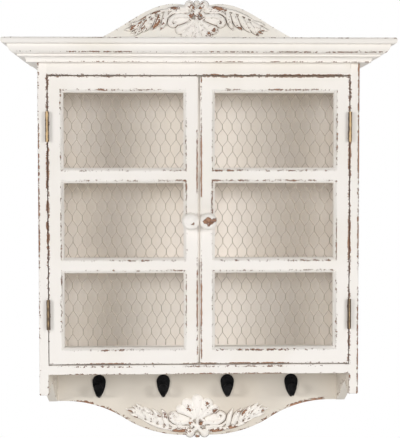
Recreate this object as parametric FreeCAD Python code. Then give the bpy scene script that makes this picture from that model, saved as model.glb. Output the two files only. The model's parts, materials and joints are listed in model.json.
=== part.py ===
"""Wall cabinet with two wire-netting doors, a moulded cornice, a carved crest and an apron with hooks.

Millimetres. +X is the viewer's right, +Y goes into the wall and +Z is up. The origin lies on the wall
plane, midway between the round entries of the two keyhole hangers.
"""
import FreeCAD
import Part
import math
import os

V = FreeCAD.Vector

# Carcass
body_width = 520.0          # over the two sides
body_depth = 150.0          # from the wall to the front edges
board = 15.0                # sides, bottom board and frieze rail
inner_board = 12.0          # shelves and inner top
back_thickness = 5.0
housing = 5.0               # how far shelves, boards and the back are let into the sides
housing_stop = 10.0         # the bottom board's housing stops this far behind the front
edge_round = 2.0            # worn round on the sides' outer front edge
hang_drop = 71.5            # from the top of the sides down to the keyhole entries
frieze_reveal = 19.35       # frieze rail seen between the cornice and the doors
frieze_tenon = 8.0          # thickness of the frieze rail's stub tenons
frieze_shoulder = 8.0       # shoulder above and below those tenons

# Feet of the sides, below the bottom board
foot_drop = 34.5            # front foot
foot_length = 22.0
foot_round = 4.0
cove_rise = 10.0            # height of the hollow behind the front foot
cove_length = 37.0
cove_crown = 1.0            # how far that hollow arches above its inner end
lobe_drop = 73.2            # rounded lobe at the wall
lobe_flat = 10.0
lobe_bulge = 4.0            # how far the lobe's front swells out of a straight slope

# Cornice, measured outwards from the body and upwards from its lower edge
cornice_height = 25.8
bed_projection = 15.5
bed_edge = 1.2              # upright edge under the hollow bed moulding
bed_hollow = 7.0
fillet_projection = 28.0
fillet_bottom = 8.0
fillet_top = 11.1
ovolo_projection = 29.5     # where the round upper moulding starts
ovolo = 12.0
top_board_thickness = 10.1
top_board_projection = 50.5
nose_round = 4.0

# Crest board
crest_thickness = 12.0
crest_height = 79.4
crest_half_width = 222.0
crest_line = [(1.0, 0.03), (0.73, 0.29), (0.55, 0.58), (0.36, 0.88), (0.18, 1.0), (0.0, 0.95)]

# Apron board
apron_thickness = 10.0
apron_end_drop = 72.85      # below the bottom board, at the sides
apron_centre_drop = 134.5   # below the bottom board, in the middle
apron_end_flat = 12.0
apron_centre_flat = 48.0

# Carved ornament, the same casting on the apron and, turned over, on the crest
ornament_height = 8.0
ornament_reach = 126.0      # from the middle to the leaf tips
ornament_overhang = 3.9     # its drop below the apron
crest_overhang = 5.4        # its rise above the crest's highest line
shell_root = 36.0           # height of the point that the shell's flutes spread from
shell_radius = 41.0
shell_angles = [90.0, 55.0, 23.0]
flute_width = 21.0
scroll_radius = 13.0
scroll_across = 44.0        # middle of each scroll
scroll_up = 30.0
# A flute from its root to its rounded end: shares of its length, its width and the casting's height
flute_along = [0.0, 0.55, 0.85, 1.0]
flute_spread = [0.2, 0.8, 1.0, 0.33]
flute_rise = [1.0, 1.0, 0.8, 0.12]
# A scroll by its turn in degrees: width in shares of its radius, height in shares of the casting's height
scroll_turns = [20.0, 70.0, 120.0, 170.0, 220.0, 270.0]
scroll_spread = [0.7, 0.85, 0.85, 0.77, 0.7, 0.46]
scroll_rise = [0.7, 1.0, 1.0, 1.0, 0.8, 0.5]
# The other strokes: places and widths in shares of the reach, heights in shares of the casting's height
leaf_root = (0.41, 0.14)
leaf_tips = [(0.52, 0.39), (0.7, 0.4), (0.87, 0.48), (1.0, 0.4), (0.88, 0.26)]
leaf_bow = (0.05, -0.024)
leaf_spread = [0.06, 0.12, 0.024]
leaf_rise = [0.5, 0.9, 0.19]
petal_path = [(0.05, 0.22), (0.09, 0.13), (0.12, 0.03)]
petal_spread = [0.05, 0.1, 0.05]
petal_rise = [0.5, 0.8, 0.25]
band_path = [(0.41, 0.095), (0.095, 0.095)]
band_spread = [0.08, 0.08]
band_rise = [0.5, 0.5]
drop_path = [(0.0, 0.24), (0.0, 0.08), (0.0, 0.0)]
drop_spread = [0.065, 0.08, 0.03]
drop_rise = [1.0, 0.7, 0.25]

# Doors
door_gap = 2.0              # above and below the doors
hinge_gap = 1.5             # between a door and its side
meeting_gap = 2.0           # between the two doors
door_thickness = 16.0
stile = 24.3
top_rail = 26.0
mid_rail = 25.0
bottom_rail = 27.0
light_height = 121.0
lights = 3
bevel = 4.5                 # round the front of each light
tenon_length = 14.0
tenon_thickness = 6.0
tenon_shoulder = 5.0
mortise_depth_clearance = 0.5
corner_round = 4.0          # meeting corners, top and bottom
meeting_bevel = 2.4         # on the front edges where the doors meet
cutter_over = 1.0           # how far a bevel's cutter stands out of the face

# Wire netting and the strips that hold it
net_wire = 0.9
net_pitch = 16.0            # between the twisted uprights
net_row = 18.6              # between rows of cells
net_twist = 10.6            # length of a twisted upright
net_overlap = 7.0           # past each edge of the lights
net_border = 1.0            # least width left round the cells
strip_width = 6.0
strip_thickness = 5.0
strip_set_back = 1.0        # from the edge of the lights

# Knobs
knob_radius = 14.0
knob_projection = 24.0
knob_stem_radius = 6.0
knob_stem_length = 7.0
knob_inset = 13.5           # from the door's meeting edge
knob_dome = 1.0             # rise of the knob's face
knob_face_radius = 8.7
knob_swell = [(0.88, 0.2), (1.0, 0.5), (0.9, 0.78)]     # shares of the radius and of the ball's length
screw_radius = 2.0
screw_head_radius = 3.5
screw_head_height = 2.4
screw_bite = 12.0           # into the knob
screw_clearance = 0.2

# Butt hinges
hinge_length = 48.0
hinge_inset = 57.0          # from the door's ends
barrel_radius = 3.0
barrel_proud = 0.2          # clear of the front face
pin_radius = 1.5
pin_running = 0.05
pin_tip = 0.6
knuckle_gap = 0.3
leaf_thickness = 1.0
leaf_gap = 0.3              # between the two leaves
leaf_reach = 17.0           # from the pin to the leaf's far edge
leaf_relief = 0.3           # between a leaf and the other leaf's knuckle

# Magnetic catch and strike plates
catch_width = 48.0
catch_depth = 14.0
catch_height = 12.0
catch_gap = 0.3
catch_slot = 6.0            # height of the slots for the magnets
strike_thickness = 1.0
strike_width = 16.0
strike_height = 8.0
strike_inset = 3.0          # from the door's meeting edge
strike_drop = 2.0           # from the door's top
shelf_clearance = 1.0       # between the closed doors' strips and the shelves

# Keyhole hangers in the back edges of the sides
hanger_width = 12.0
hanger_thickness = 2.0
hanger_length = 42.0
hanger_entry = 15.0         # from the plate's lower end up to the round entry
keyhole_radius = 4.5
keyhole_slot = 4.5
keyhole_travel = 10.0
head_pocket = 10.0          # depth behind the plate for the wall screw's head
pocket_margin = 1.0
hanger_screw_radius = 1.5
hanger_screw_head = 3.0
hanger_screw_length = 14.0
hanger_screw_inset = 4.5    # from the plate's ends

# Hooks
hook_count = 4
hook_pitch = 112.5
hook_row_offset = -3.5      # the row sits a little left of the middle
hook_top_drop = 26.5        # below the bottom board
hook_width = 23.0
hook_height = 40.5
hook_plate = 3.0
hook_shoulder = 15.0        # from the plate's top to its widest line
hook_flank_half = 8.5       # half width midway down the plate's flank
hook_flank_drop = 13.3      # that place, below the widest line
hook_tip_half = 2.0
hook_tip_round = 1.0
hook_bar = 4.0
hook_reach = 24.5           # from the apron's face to the tongue's outer face
hook_tongue_width = 16.0
hook_tongue_foot = 6.0
hook_tongue_rise = 11.0     # straight part of the tongue above the bend
hook_bend_lift = 4.0        # the bend's lowest line above the plate's tip
hook_screw_drop = 8.5
hook_screw_radius = 1.5
hook_screw_head = 3.4
hook_screw_head_height = 1.6
hook_screw_bite = 8.0       # into the apron

# Places that follow from the sizes above
half_width = body_width / 2
inner_half = half_width - board
front = -body_depth
side_top = hang_drop
cornice_bottom = side_top - cornice_height
opening_top = cornice_bottom - frieze_reveal
door_top = opening_top - door_gap
door_height = top_rail + lights * light_height + (lights - 1) * mid_rail + bottom_rail
door_bottom = door_top - door_height
opening_bottom = door_bottom - door_gap
floor_bottom = opening_bottom - board
door_back = front + door_thickness
net_back = door_back + net_wire
strip_back = net_back + strip_thickness
shelf_front = strip_back + shelf_clearance
hinge_edge = inner_half - hinge_gap
meeting_edge = meeting_gap / 2
light_inner = meeting_edge + stile
light_outer = hinge_edge - stile
hinge_x = inner_half - hinge_gap / 2
hinge_y = front - barrel_radius - barrel_proud
knob_x = meeting_edge + knob_inset
knob_z = door_bottom + door_height / 2
apron_face = -apron_thickness
apron_bottom = floor_bottom - apron_centre_drop
crest_bottom = side_top + top_board_thickness
hanger_x = half_width - board / 2
hanger_top = hanger_length - hanger_entry
light_tops = [door_top - top_rail - n * (light_height + mid_rail) for n in range(lights)]
hinge_bottoms = [door_top - hinge_inset - hinge_length, door_bottom + hinge_inset]
hook_xs = [hook_row_offset + hook_pitch * (n - (hook_count - 1) / 2) for n in range(hook_count)]


def block(x0, x1, y0, y1, z0, z1):
    """A squared piece given by its six faces."""
    return Part.makeBox(x1 - x0, y1 - y0, z1 - z0, V(x0, y0, z0))


def side_view(y, z):
    return V(0, y, z)


def front_view(x, z):
    return V(x, 0, z)


def outline(view, start, steps):
    """A closed face. A step is a point for a straight run, or (middle, end) for an arc."""
    edges = []
    first = view(*start)
    here = first
    for step in steps:
        if isinstance(step[0], tuple):
            end = view(*step[1])
            edges.append(Part.Arc(here, view(*step[0]), end).toShape())
        else:
            end = view(*step)
            edges.append(Part.LineSegment(here, end).toShape())
        here = end
    if here.distanceToPoint(first) > 0:
        edges.append(Part.LineSegment(here, first).toShape())
    return Part.Face(Part.Wire(edges))


def rod(radius, length, base, direction):
    return Part.makeCylinder(radius, length, base, direction)


def along_x(face, x0, x1):
    face = face.translated(V(x0, 0, 0))
    return face.extrude(V(x1 - x0, 0, 0))


def along_y(face, y0, y1):
    face = face.translated(V(0, y0, 0))
    return face.extrude(V(0, y1 - y0, 0))


def mirrored(shape):
    return shape.mirror(V(0, 0, 0), V(1, 0, 0))


def one(shape):
    """The single clean solid of a fused or cut shape."""
    return shape.removeSplitter().Solids[0]


def shelf_tops():
    """Each shelf hides behind a middle rail, its top on the rail's middle line."""
    return [top - light_height - mid_rail / 2 for top in light_tops[:-1]]


def side_panel():
    """Right side: shaped foot, housings for the boards, a rabbet for the back, and the hanger's recess."""
    foot_z = floor_bottom - foot_drop
    lobe_z = floor_bottom - lobe_drop
    cove_start = front + foot_length
    cove_end = cove_start + cove_length
    cove_top = foot_z + cove_rise
    corner = foot_round * (1 - math.sqrt(0.5))
    middle_y = (cove_end - lobe_flat) / 2
    middle_z = (cove_top + lobe_z) / 2
    face = outline(side_view, (front, side_top), [
        (0, side_top),
        (0, lobe_z),
        (-lobe_flat, lobe_z),
        ((middle_y, middle_z - lobe_bulge), (cove_end, cove_top)),
        ((cove_start + cove_length / 3, cove_top + cove_crown), (cove_start, foot_z)),
        (front + foot_round, foot_z),
        ((front + corner, foot_z + corner), (front, foot_z + foot_round)),
    ])
    side = along_x(face, inner_half, half_width)
    depth = inner_half + housing
    for top in shelf_tops():
        side = side.cut(block(inner_half, depth, shelf_front, -back_thickness, top - inner_board, top))
    side = side.cut(block(inner_half, depth, front + board, -back_thickness,
                          opening_top, opening_top + inner_board))
    side = side.cut(block(inner_half, depth, front + housing_stop, -back_thickness,
                          floor_bottom, opening_bottom))
    side = side.cut(block(inner_half, depth, -back_thickness, 0, floor_bottom, side_top))
    side = side.cut(block(inner_half, depth, -apron_thickness, 0, lobe_z, floor_bottom))
    side = side.cut(frieze_rail())
    for z in hinge_bottoms:
        side = side.cut(leaf_recess(inner_half, hinge_x + leaf_gap / 2 + leaf_thickness, z))
    for cutter in hanger_recess() + hanger_screw_set():
        side = side.cut(cutter)
    rounded = [e for e in side.Edges if on_line(e, half_width, front)]
    return one(side.makeFillet(edge_round, rounded))


def on_line(edge, x, y):
    """Whether an upright edge stands at this place in plan."""
    return all(abs(v.X - x) < 0.01 and abs(v.Y - y) < 0.01 for v in edge.Vertexes)


def leaf_recess(x0, x1, z):
    return block(x0, x1, front, hinge_y + leaf_reach, z, z + hinge_length)


def frieze_rail():
    """Rail above the doors, stub-tenoned into the sides."""
    rail = block(-inner_half, inner_half, front, front + board, opening_top, side_top)
    middle = front + board / 2
    tenon = block(-inner_half - housing, inner_half + housing, middle - frieze_tenon / 2,
                  middle + frieze_tenon / 2, opening_top + frieze_shoulder, side_top - frieze_shoulder)
    return one(rail.fuse(tenon))


def housed_board(y0, z0, z1):
    """A board let into both sides, from y0 back to the back panel."""
    reach = inner_half + housing
    return block(-reach, reach, y0, -back_thickness, z0, z1)


def bottom_board():
    """Cabinet floor, flush with the front, its front corners notched so that the housings don't show."""
    floor = housed_board(front, floor_bottom, opening_bottom)
    reach = inner_half + housing
    notch = block(inner_half, reach, front, front + housing_stop, floor_bottom, opening_bottom)
    return one(floor.cut(notch).cut(mirrored(notch)))


def back_panel():
    """Back, let into rabbets in the sides, its edges cut away round the keyhole hangers."""
    reach = inner_half + housing
    back = block(-reach, reach, -back_thickness, 0, floor_bottom, side_top)
    for cutter in hanger_recess():
        back = back.cut(cutter).cut(mirrored(cutter))
    return one(back)


def ogee(start, end):
    """Two equal arcs, level at both ends, as steps of an outline."""
    dx, dz = end[0] - start[0], end[1] - start[1]
    radius = (dx * dx + dz * dz) / (4 * abs(dz))
    sweep = math.asin(abs(dx) / 2 / radius)
    run = math.copysign(radius * math.sin(sweep / 2), dx)
    drop = math.copysign(radius * (1 - math.cos(sweep / 2)), dz)
    middle = (start[0] + dx / 2, start[1] + dz / 2)
    first = (start[0] + run, start[1] + drop)
    second = (end[0] - run, end[1] - drop)
    return [(first, middle), (second, end)]


def apron_board():
    """Shaped board below the floor, let into the sides, that carries the hooks."""
    reach = inner_half + housing
    end_z = floor_bottom - apron_end_drop
    shoulder = inner_half - apron_end_flat
    half_flat = apron_centre_flat / 2
    steps = [(reach, floor_bottom), (reach, end_z), (shoulder, end_z)]
    steps += ogee((shoulder, end_z), (half_flat, apron_bottom))
    steps += [(-half_flat, apron_bottom)]
    steps += ogee((-half_flat, apron_bottom), (-shoulder, end_z))
    steps += [(-reach, end_z)]
    board_face = outline(front_view, (-reach, floor_bottom), steps)
    apron = along_y(board_face, apron_face, 0)
    for x in hook_xs:
        apron = apron.cut(hook_screw(x))
    return one(apron)


def cornice_profile():
    """Hollow bed, fillet and ovolo, as (projection, height) from the cornice's lower inner corner."""
    bulge = math.sqrt(0.5)
    bed_end = bed_projection + bed_hollow
    bed_rise = fillet_bottom - bed_edge
    ovolo_end = ovolo_projection + ovolo
    ovolo_rise = cornice_height - fillet_top
    return (0, 0), [
        (bed_projection, 0),
        (bed_projection, bed_edge),
        ((bed_end - bed_hollow * bulge, bed_edge + bed_rise * bulge), (bed_end, fillet_bottom)),
        (fillet_projection, fillet_bottom),
        (fillet_projection, fillet_top),
        (ovolo_projection, fillet_top),
        ((ovolo_projection + ovolo * bulge, cornice_height - ovolo_rise * bulge),
         (ovolo_end, cornice_height)),
        (0, cornice_height),
    ]


def plan_prism(points):
    """An upright block over the cornice's height, from points in plan."""
    corners = [V(x, y, cornice_bottom) for x, y in points]
    face = Part.Face(Part.makePolygon(corners + corners[:1]))
    return face.extrude(V(0, 0, cornice_height))


def cornice_front():
    """Front length of the moulding, mitred at both ends."""
    start, steps = cornice_profile()

    def view(p, h):
        return V(0, front - p, cornice_bottom + h)

    reach = half_width + top_board_projection
    length = along_x(outline(view, start, steps), -reach, reach)
    far = front - top_board_projection
    return one(length.common(plan_prism(
        [(-reach, far), (reach, far), (half_width, front), (-half_width, front)])))


def cornice_return():
    """Right-hand length of the moulding, mitred at the front and square at the wall."""
    start, steps = cornice_profile()

    def view(p, h):
        return V(half_width + p, 0, cornice_bottom + h)

    reach = half_width + top_board_projection
    far = front - top_board_projection
    length = along_y(outline(view, start, steps), far, 0)
    return one(length.common(plan_prism(
        [(half_width, 0), (reach, 0), (reach, far), (half_width, front)])))


def top_board():
    """Cover board over the cornice, with a rounded nose on the front and both ends."""
    reach = half_width + top_board_projection
    far = front - top_board_projection
    cover = block(-reach, reach, far, 0, side_top, crest_bottom)

    def on_nose(edge):
        points = [v.Point for v in edge.Vertexes]
        level = abs(points[0].z - points[1].z) < 0.01
        at_front = all(abs(p.y - far) < 0.01 for p in points)
        at_end = all(abs(abs(p.x) - reach) < 0.01 for p in points)
        return level and (at_front or at_end)

    return one(cover.makeFillet(nose_round, [e for e in cover.Edges if on_nose(e)]))


def crest_board():
    """Shaped board that stands on the top board at the wall."""
    half = [V(x * crest_half_width, 0, crest_bottom + z * crest_height) for x, z in crest_line]
    points = [V(-p.x, 0, p.z) for p in half[:-1]] + half[::-1]
    curve = Part.BSplineCurve()
    curve.interpolate(points)
    left = V(-crest_half_width, 0, crest_bottom)
    right = V(crest_half_width, 0, crest_bottom)
    wire = Part.Wire([
        Part.LineSegment(left, points[0]).toShape(),
        curve.toShape(),
        Part.LineSegment(points[-1], right).toShape(),
        Part.LineSegment(right, left).toShape(),
    ])
    return along_y(Part.Face(wire), -crest_thickness, 0)


def faceted(faces):
    """A solid from flat faces, each a list of corners."""
    shell = Part.Shell([Part.Face(Part.makePolygon(list(face) + [face[0]])) for face in faces])
    solid = Part.Solid(shell)
    if solid.Volume < 0:
        solid.reverse()
    return solid


def ridge(path, widths, heights):
    """A carved ridge on the plane Y = 0, standing towards -Y, with a pointed section along a path."""
    sections = []
    for n, (u, v) in enumerate(path):
        before = path[max(n - 1, 0)]
        after = path[min(n + 1, len(path) - 1)]
        along = V(after[0] - before[0], 0, after[1] - before[1]).normalize()
        across = V(along.z, 0, -along.x) * (widths[n] / 2)
        base = V(u, 0, v)
        sections.append((base - across, base + V(0, -heights[n], 0), base + across))
    faces = [sections[0], sections[-1]]
    for here, there in zip(sections, sections[1:]):
        for i in range(3):
            j = (i + 1) % 3
            faces.append((here[i], there[i], there[j]))
            faces.append((here[i], there[j], here[j]))
    return faceted(faces)


def polar(centre, radius, degrees):
    turn = math.radians(degrees)
    return centre[0] + radius * math.cos(turn), centre[1] + radius * math.sin(turn)


def shares_of(size, shares):
    return [size * share for share in shares]


def reached(path):
    """Places on the ornament from shares of its reach."""
    return [(ornament_reach * u, ornament_reach * v) for u, v in path]


def stroke(path, spread, rise):
    """A ridge of the ornament given in shares."""
    return ridge(reached(path), shares_of(ornament_reach, spread), shares_of(ornament_height, rise))


def ornament():
    """Shell with a leafy scroll each side and a trefoil drop, upright, with its lowest point at Z = 0."""
    carved = []
    for angle in shell_angles:
        flute = [polar((0, shell_root), shell_radius * share, angle) for share in flute_along]
        carved.append(ridge(flute, shares_of(flute_width, flute_spread),
                            shares_of(ornament_height, flute_rise)))
    scroll = [polar((-scroll_across, scroll_up), scroll_radius, turn) for turn in scroll_turns]
    scroll = [(-u, v) for u, v in scroll]
    carved.append(ridge(scroll, shares_of(scroll_radius, scroll_spread),
                        shares_of(ornament_height, scroll_rise)))
    for tip in leaf_tips:
        middle = tuple((a + b) / 2 + bow for a, b, bow in zip(leaf_root, tip, leaf_bow))
        carved.append(stroke([leaf_root, middle, tip], leaf_spread, leaf_rise))
    carved.append(stroke(petal_path, petal_spread, petal_rise))
    carved.append(stroke(band_path, band_spread, band_rise))
    carved += [mirrored(piece) for piece in carved[1:]]
    carved.append(stroke(drop_path, drop_spread, drop_rise))
    return one(carved[0].multiFuse(carved[1:]))


def apron_ornament():
    return ornament().translated(V(0, apron_face, apron_bottom - ornament_overhang))


def crest_ornament():
    turned = ornament().rotated(V(0, 0, 0), V(0, 1, 0), 180)
    return turned.translated(V(0, -crest_thickness, crest_bottom + crest_height + crest_overhang))


def turned_screw(x, z, stations):
    """A screw along Y, with eight sides, through (place along Y, radius) stations."""
    sides = 8
    rings = []
    for y, radius in stations:
        spots = [polar((x, z), radius, 360 * n / sides) for n in range(sides)]
        rings.append([V(u, y, v) for u, v in spots])
    faces = [rings[0], rings[-1]]
    for here, there in zip(rings, rings[1:]):
        faces += [(here[n - 1], there[n - 1], there[n], here[n]) for n in range(sides)]
    return faceted(faces)


def hook_screw(x):
    """Round-headed screw through a hook's plate into the apron."""
    face = apron_face - hook_plate
    return turned_screw(x, floor_bottom - hook_top_drop - hook_screw_drop, [
        (face - hook_screw_head_height, hook_screw_head / 2),
        (face, hook_screw_head),
        (face, hook_screw_radius),
        (apron_face + hook_screw_bite, hook_screw_radius),
    ])


def hook(x):
    """Cast hook: pear-shaped plate, and a tongue that widens as it curls forwards and up."""
    top = floor_bottom - hook_top_drop
    bottom = top - hook_height
    wide = top - hook_shoulder
    half = hook_width / 2
    flank = (hook_flank_half, wide - hook_flank_drop)
    tip_end = bottom + hook_tip_round
    pear = outline(front_view, (-half, wide), [
        ((0, top), (half, wide)),
        (flank, (hook_tip_half, tip_end)),
        ((0, bottom), (-hook_tip_half, tip_end)),
        ((-flank[0], flank[1]), (-half, wide)),
    ])
    plate = along_y(pear, apron_face - hook_plate, apron_face)
    tongue = apron_face - hook_reach
    outer = (hook_reach - hook_plate + hook_bar / 2) / 2
    inner = outer - hook_bar
    middle = tongue + outer
    bend = bottom + hook_bend_lift + outer
    tip = bend + hook_tongue_rise
    section = outline(side_view, (middle + outer, bend), [
        ((middle, bend - outer), (tongue, bend)),
        (tongue, tip),
        (tongue + hook_bar, tip),
        (tongue + hook_bar, bend),
        ((middle, bend - inner), (middle + inner, bend)),
    ])
    wide_half = hook_tongue_width / 2
    taper = outline(front_view, (-hook_tongue_foot / 2, bend - outer), [
        (hook_tongue_foot / 2, bend - outer),
        (wide_half, bend + hook_tongue_rise / 2),
        (wide_half / 2, tip),
        (-wide_half / 2, tip),
        (-wide_half, bend + hook_tongue_rise / 2),
    ])
    arm = along_x(section, -wide_half, wide_half).common(along_y(taper, tongue, apron_face))
    cast = one(plate.fuse(arm)).translated(V(x, 0, 0))
    return one(cast.cut(hook_screw(x)))


def hanger_recess():
    """What is cut away for the right keyhole plate: its own recess and the wall screw's head pocket."""
    pocket = keyhole_radius + pocket_margin
    return [
        block(hanger_x - hanger_width / 2, hanger_x + hanger_width / 2,
              -hanger_thickness, 0, -hanger_entry, hanger_top),
        block(hanger_x - pocket, hanger_x + pocket, -hanger_thickness - head_pocket,
              -hanger_thickness, -pocket, keyhole_travel + pocket),
    ]


def hanger_screw_set():
    """Two countersunk screws of the right keyhole plate."""
    stations = [
        (0, hanger_screw_head),
        (hanger_screw_radius - hanger_screw_head, hanger_screw_radius),
        (-hanger_screw_length, hanger_screw_radius),
    ]
    levels = (hanger_top - hanger_screw_inset, -hanger_entry + hanger_screw_inset)
    return [turned_screw(hanger_x, z, stations) for z in levels]


def hanger_plate():
    """Steel plate with a keyhole: a wall screw's head enters the round hole, the slot drops over its neck."""
    plate = hanger_recess()[0]
    through = V(0, -1, 0)
    plate = plate.cut(rod(keyhole_radius, hanger_thickness, V(hanger_x, 0, 0), through))
    plate = plate.cut(rod(keyhole_slot / 2, hanger_thickness, V(hanger_x, 0, keyhole_travel), through))
    plate = plate.cut(block(hanger_x - keyhole_slot / 2, hanger_x + keyhole_slot / 2,
                            -hanger_thickness, 0, 0, keyhole_travel))
    for screw in hanger_screw_set():
        plate = plate.cut(screw)
    return one(plate)


def bevel_cutters():
    """One wedge for each light, which bevels every member round it and mitres the corners."""
    cutters = []
    for top in light_tops:
        rings = []
        for y, grow in ((front + bevel, 0), (front - cutter_over, bevel + cutter_over)):
            x0, x1 = light_inner - grow, light_outer + grow
            z0, z1 = top - light_height - grow, top + grow
            corners = [V(x0, y, z0), V(x1, y, z0), V(x1, y, z1), V(x0, y, z1)]
            rings.append(Part.makePolygon(corners + corners[:1]))
        cutters.append(Part.makeLoft(rings, True, True))
    return cutters


def rail_levels():
    """Bottom and top of each rail, by name, from the top down."""
    first = (light_tops[0], door_top)
    middle = [(top - light_height - mid_rail, top - light_height) for top in light_tops[:-1]]
    last = (door_bottom, door_bottom + bottom_rail)
    names = ["top_rail", "upper_middle_rail", "lower_middle_rail", "bottom_rail"]
    return dict(zip(names, [first] + middle + [last]))


def tenons(z0, z1, spare):
    """Both tenons of a rail. The mortises are the same shapes with some spare depth."""
    middle = front + door_thickness / 2
    reach = tenon_length + spare
    return block(light_inner - reach, light_outer + reach, middle - tenon_thickness / 2,
                 middle + tenon_thickness / 2, z0 + tenon_shoulder, z1 - tenon_shoulder)


def door_frame():
    """Members of the right door, by name: two stiles, and four rails tenoned into them."""
    cutters = bevel_cutters()
    rails = rail_levels()
    hinge_stile = block(light_outer, hinge_edge, front, door_back, door_bottom, door_top)
    meeting_stile = block(meeting_edge, light_inner, front, door_back, door_bottom, door_top)
    corners = [e for e in meeting_stile.Edges
               if all(abs(v.X - meeting_edge) < 0.01 for v in e.Vertexes)
               and abs(e.Vertexes[0].Z - e.Vertexes[1].Z) < 0.01]
    meeting_stile = meeting_stile.makeFillet(corner_round, corners)
    wedge = outline(lambda x, y: V(x, y, door_bottom), (meeting_edge, front),
                    [(meeting_edge + meeting_bevel, front), (meeting_edge, front + meeting_bevel)])
    meeting_stile = meeting_stile.cut(wedge.extrude(V(0, 0, door_height)))
    for z0, z1 in rails.values():
        mortises = tenons(z0, z1, mortise_depth_clearance)
        hinge_stile = hinge_stile.cut(mortises)
        meeting_stile = meeting_stile.cut(mortises)
    for z in hinge_bottoms:
        hinge_stile = hinge_stile.cut(leaf_recess(hinge_x - leaf_gap / 2 - leaf_thickness, hinge_edge, z))
    hole = screw_radius + screw_clearance
    meeting_stile = meeting_stile.cut(turned_screw(knob_x, knob_z, [(front, hole), (door_back, hole)]))
    members = {"hinge_stile": hinge_stile, "meeting_stile": meeting_stile}
    for name, (z0, z1) in rails.items():
        rail = block(light_inner, light_outer, front, door_back, z0, z1)
        members[name] = rail.fuse(tenons(z0, z1, 0))
    for name, member in members.items():
        for cutter in cutters:
            member = member.cut(cutter)
        members[name] = one(member)
    return members


def net_cells(x0, x1, z0, z1):
    """Centres of the whole cells that fit in the net, row by row, every other row half a pitch aside."""
    rise = net_row - net_twist
    half_cell = net_twist / 2 + rise
    rows = int((z1 - z0 - 2 * net_border - 2 * half_cell) / net_row) + 1
    first_z = (z0 + z1 - (rows - 1) * net_row) / 2
    middle = (x0 + x1) / 2
    room = (x1 - x0) / 2 - net_border - net_pitch / 2
    for row in range(rows):
        aside = net_pitch / 2 * (row % 2)
        reach = int((room - aside) / net_pitch)
        low = -reach - (1 if aside else 0)
        for column in range(low, reach + 1):
            yield middle + aside + column * net_pitch, first_z + row * net_row


def net():
    """Hexagonal netting of the right door: one flat face with a hole for each cell, as thick as the wire."""
    x0, x1 = light_inner - net_overlap, light_outer + net_overlap
    z0, z1 = light_tops[-1] - light_height - net_overlap, light_tops[0] + net_overlap
    rise = net_row - net_twist
    slope = rise / (net_pitch / 2)
    half = net_pitch / 2 - net_wire / 2
    apex = net_twist / 2 + rise - net_wire / 2 * math.hypot(1, slope)
    knee = apex - half * slope

    def ring(points):
        corners = [V(x, door_back, z) for x, z in points]
        return Part.makePolygon(corners + corners[:1])

    wires = [ring([(x0, z0), (x1, z0), (x1, z1), (x0, z1)])]
    for x, z in net_cells(x0, x1, z0, z1):
        wires.append(ring([(x, z + apex), (x + half, z + knee), (x + half, z - knee),
                           (x, z - apex), (x - half, z - knee), (x - half, z + knee)]))
    print("cells in each net:", len(wires) - 1)
    return Part.Face(wires, "Part::FaceMakerCheese").extrude(V(0, net_wire, 0))


def net_strips():
    """Four strips over the net's edges, the uprights between the cross strips."""
    x0, x1 = light_inner - strip_set_back, light_outer + strip_set_back
    z0, z1 = light_tops[-1] - light_height - strip_set_back, light_tops[0] + strip_set_back
    w = strip_width
    return [
        block(x0 - w, x0, net_back, strip_back, z0, z1),
        block(x1, x1 + w, net_back, strip_back, z0, z1),
        block(x0 - w, x1 + w, net_back, strip_back, z0 - w, z0),
        block(x0 - w, x1 + w, net_back, strip_back, z1, z1 + w),
    ]


def knob_screw():
    """Machine screw from inside the door into the knob."""
    return turned_screw(knob_x, knob_z, [
        (door_back + screw_head_height, screw_head_radius),
        (door_back, screw_head_radius),
        (door_back, screw_radius),
        (front - screw_bite, screw_radius),
    ])


def knob():
    """Turned wooden knob: a short stem under a ball with a flattened, slightly domed face."""

    def view(r, out):
        return V(knob_x + r, front - out, knob_z)

    ball = knob_projection - knob_stem_length
    steps = [(knob_stem_radius, 0), (knob_stem_radius, knob_stem_length)]
    steps += [(knob_radius * share, knob_stem_length + ball * out) for share, out in knob_swell]
    steps += [(knob_face_radius, knob_projection - knob_dome), (0, knob_projection)]
    face = outline(view, (0, 0), steps)
    turned = face.revolve(V(knob_x, front, knob_z), V(0, 1, 0), 360)
    return one(turned.cut(knob_screw()))


def knuckle_levels(index, z):
    """Bottom and top of one third of a hinge's barrel."""
    length = hinge_length / 3
    gap = knuckle_gap / 2
    z0 = z + index * length + (gap if index else 0)
    z1 = z + (index + 1) * length - (gap if index < 2 else 0)
    return z0, z1


def leaf(direction, indexes, bore, z):
    """A hinge leaf with its knuckles. Direction is +1 for the leaf on the side and -1 for the door's."""
    near = hinge_x + direction * leaf_gap / 2
    far = near + direction * leaf_thickness
    x0, x1 = min(near, far), max(near, far)
    plate_start = hinge_y + barrel_radius + leaf_relief
    shape = block(x0, x1, plate_start, hinge_y + leaf_reach, z, z + hinge_length)
    for index in indexes:
        z0, z1 = knuckle_levels(index, z)
        barrel = rod(barrel_radius, z1 - z0, V(hinge_x, hinge_y, z0), V(0, 0, 1))
        tab = block(x0, x1, hinge_y + (pin_radius + barrel_radius) / 2, plate_start, z0, z1)
        shape = shape.fuse(barrel).fuse(tab)
    shape = shape.cut(rod(bore, hinge_length, V(hinge_x, hinge_y, z), V(0, 0, 1)))
    return one(shape)


def hinge_pin(z):
    return rod(pin_radius, hinge_length + 2 * pin_tip, V(hinge_x, hinge_y, z - pin_tip), V(0, 0, 1))


def strike_plate():
    x0 = meeting_edge + strike_inset
    z1 = door_top - strike_drop
    return block(x0, x0 + strike_width, door_back, door_back + strike_thickness, z1 - strike_height, z1)


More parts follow.
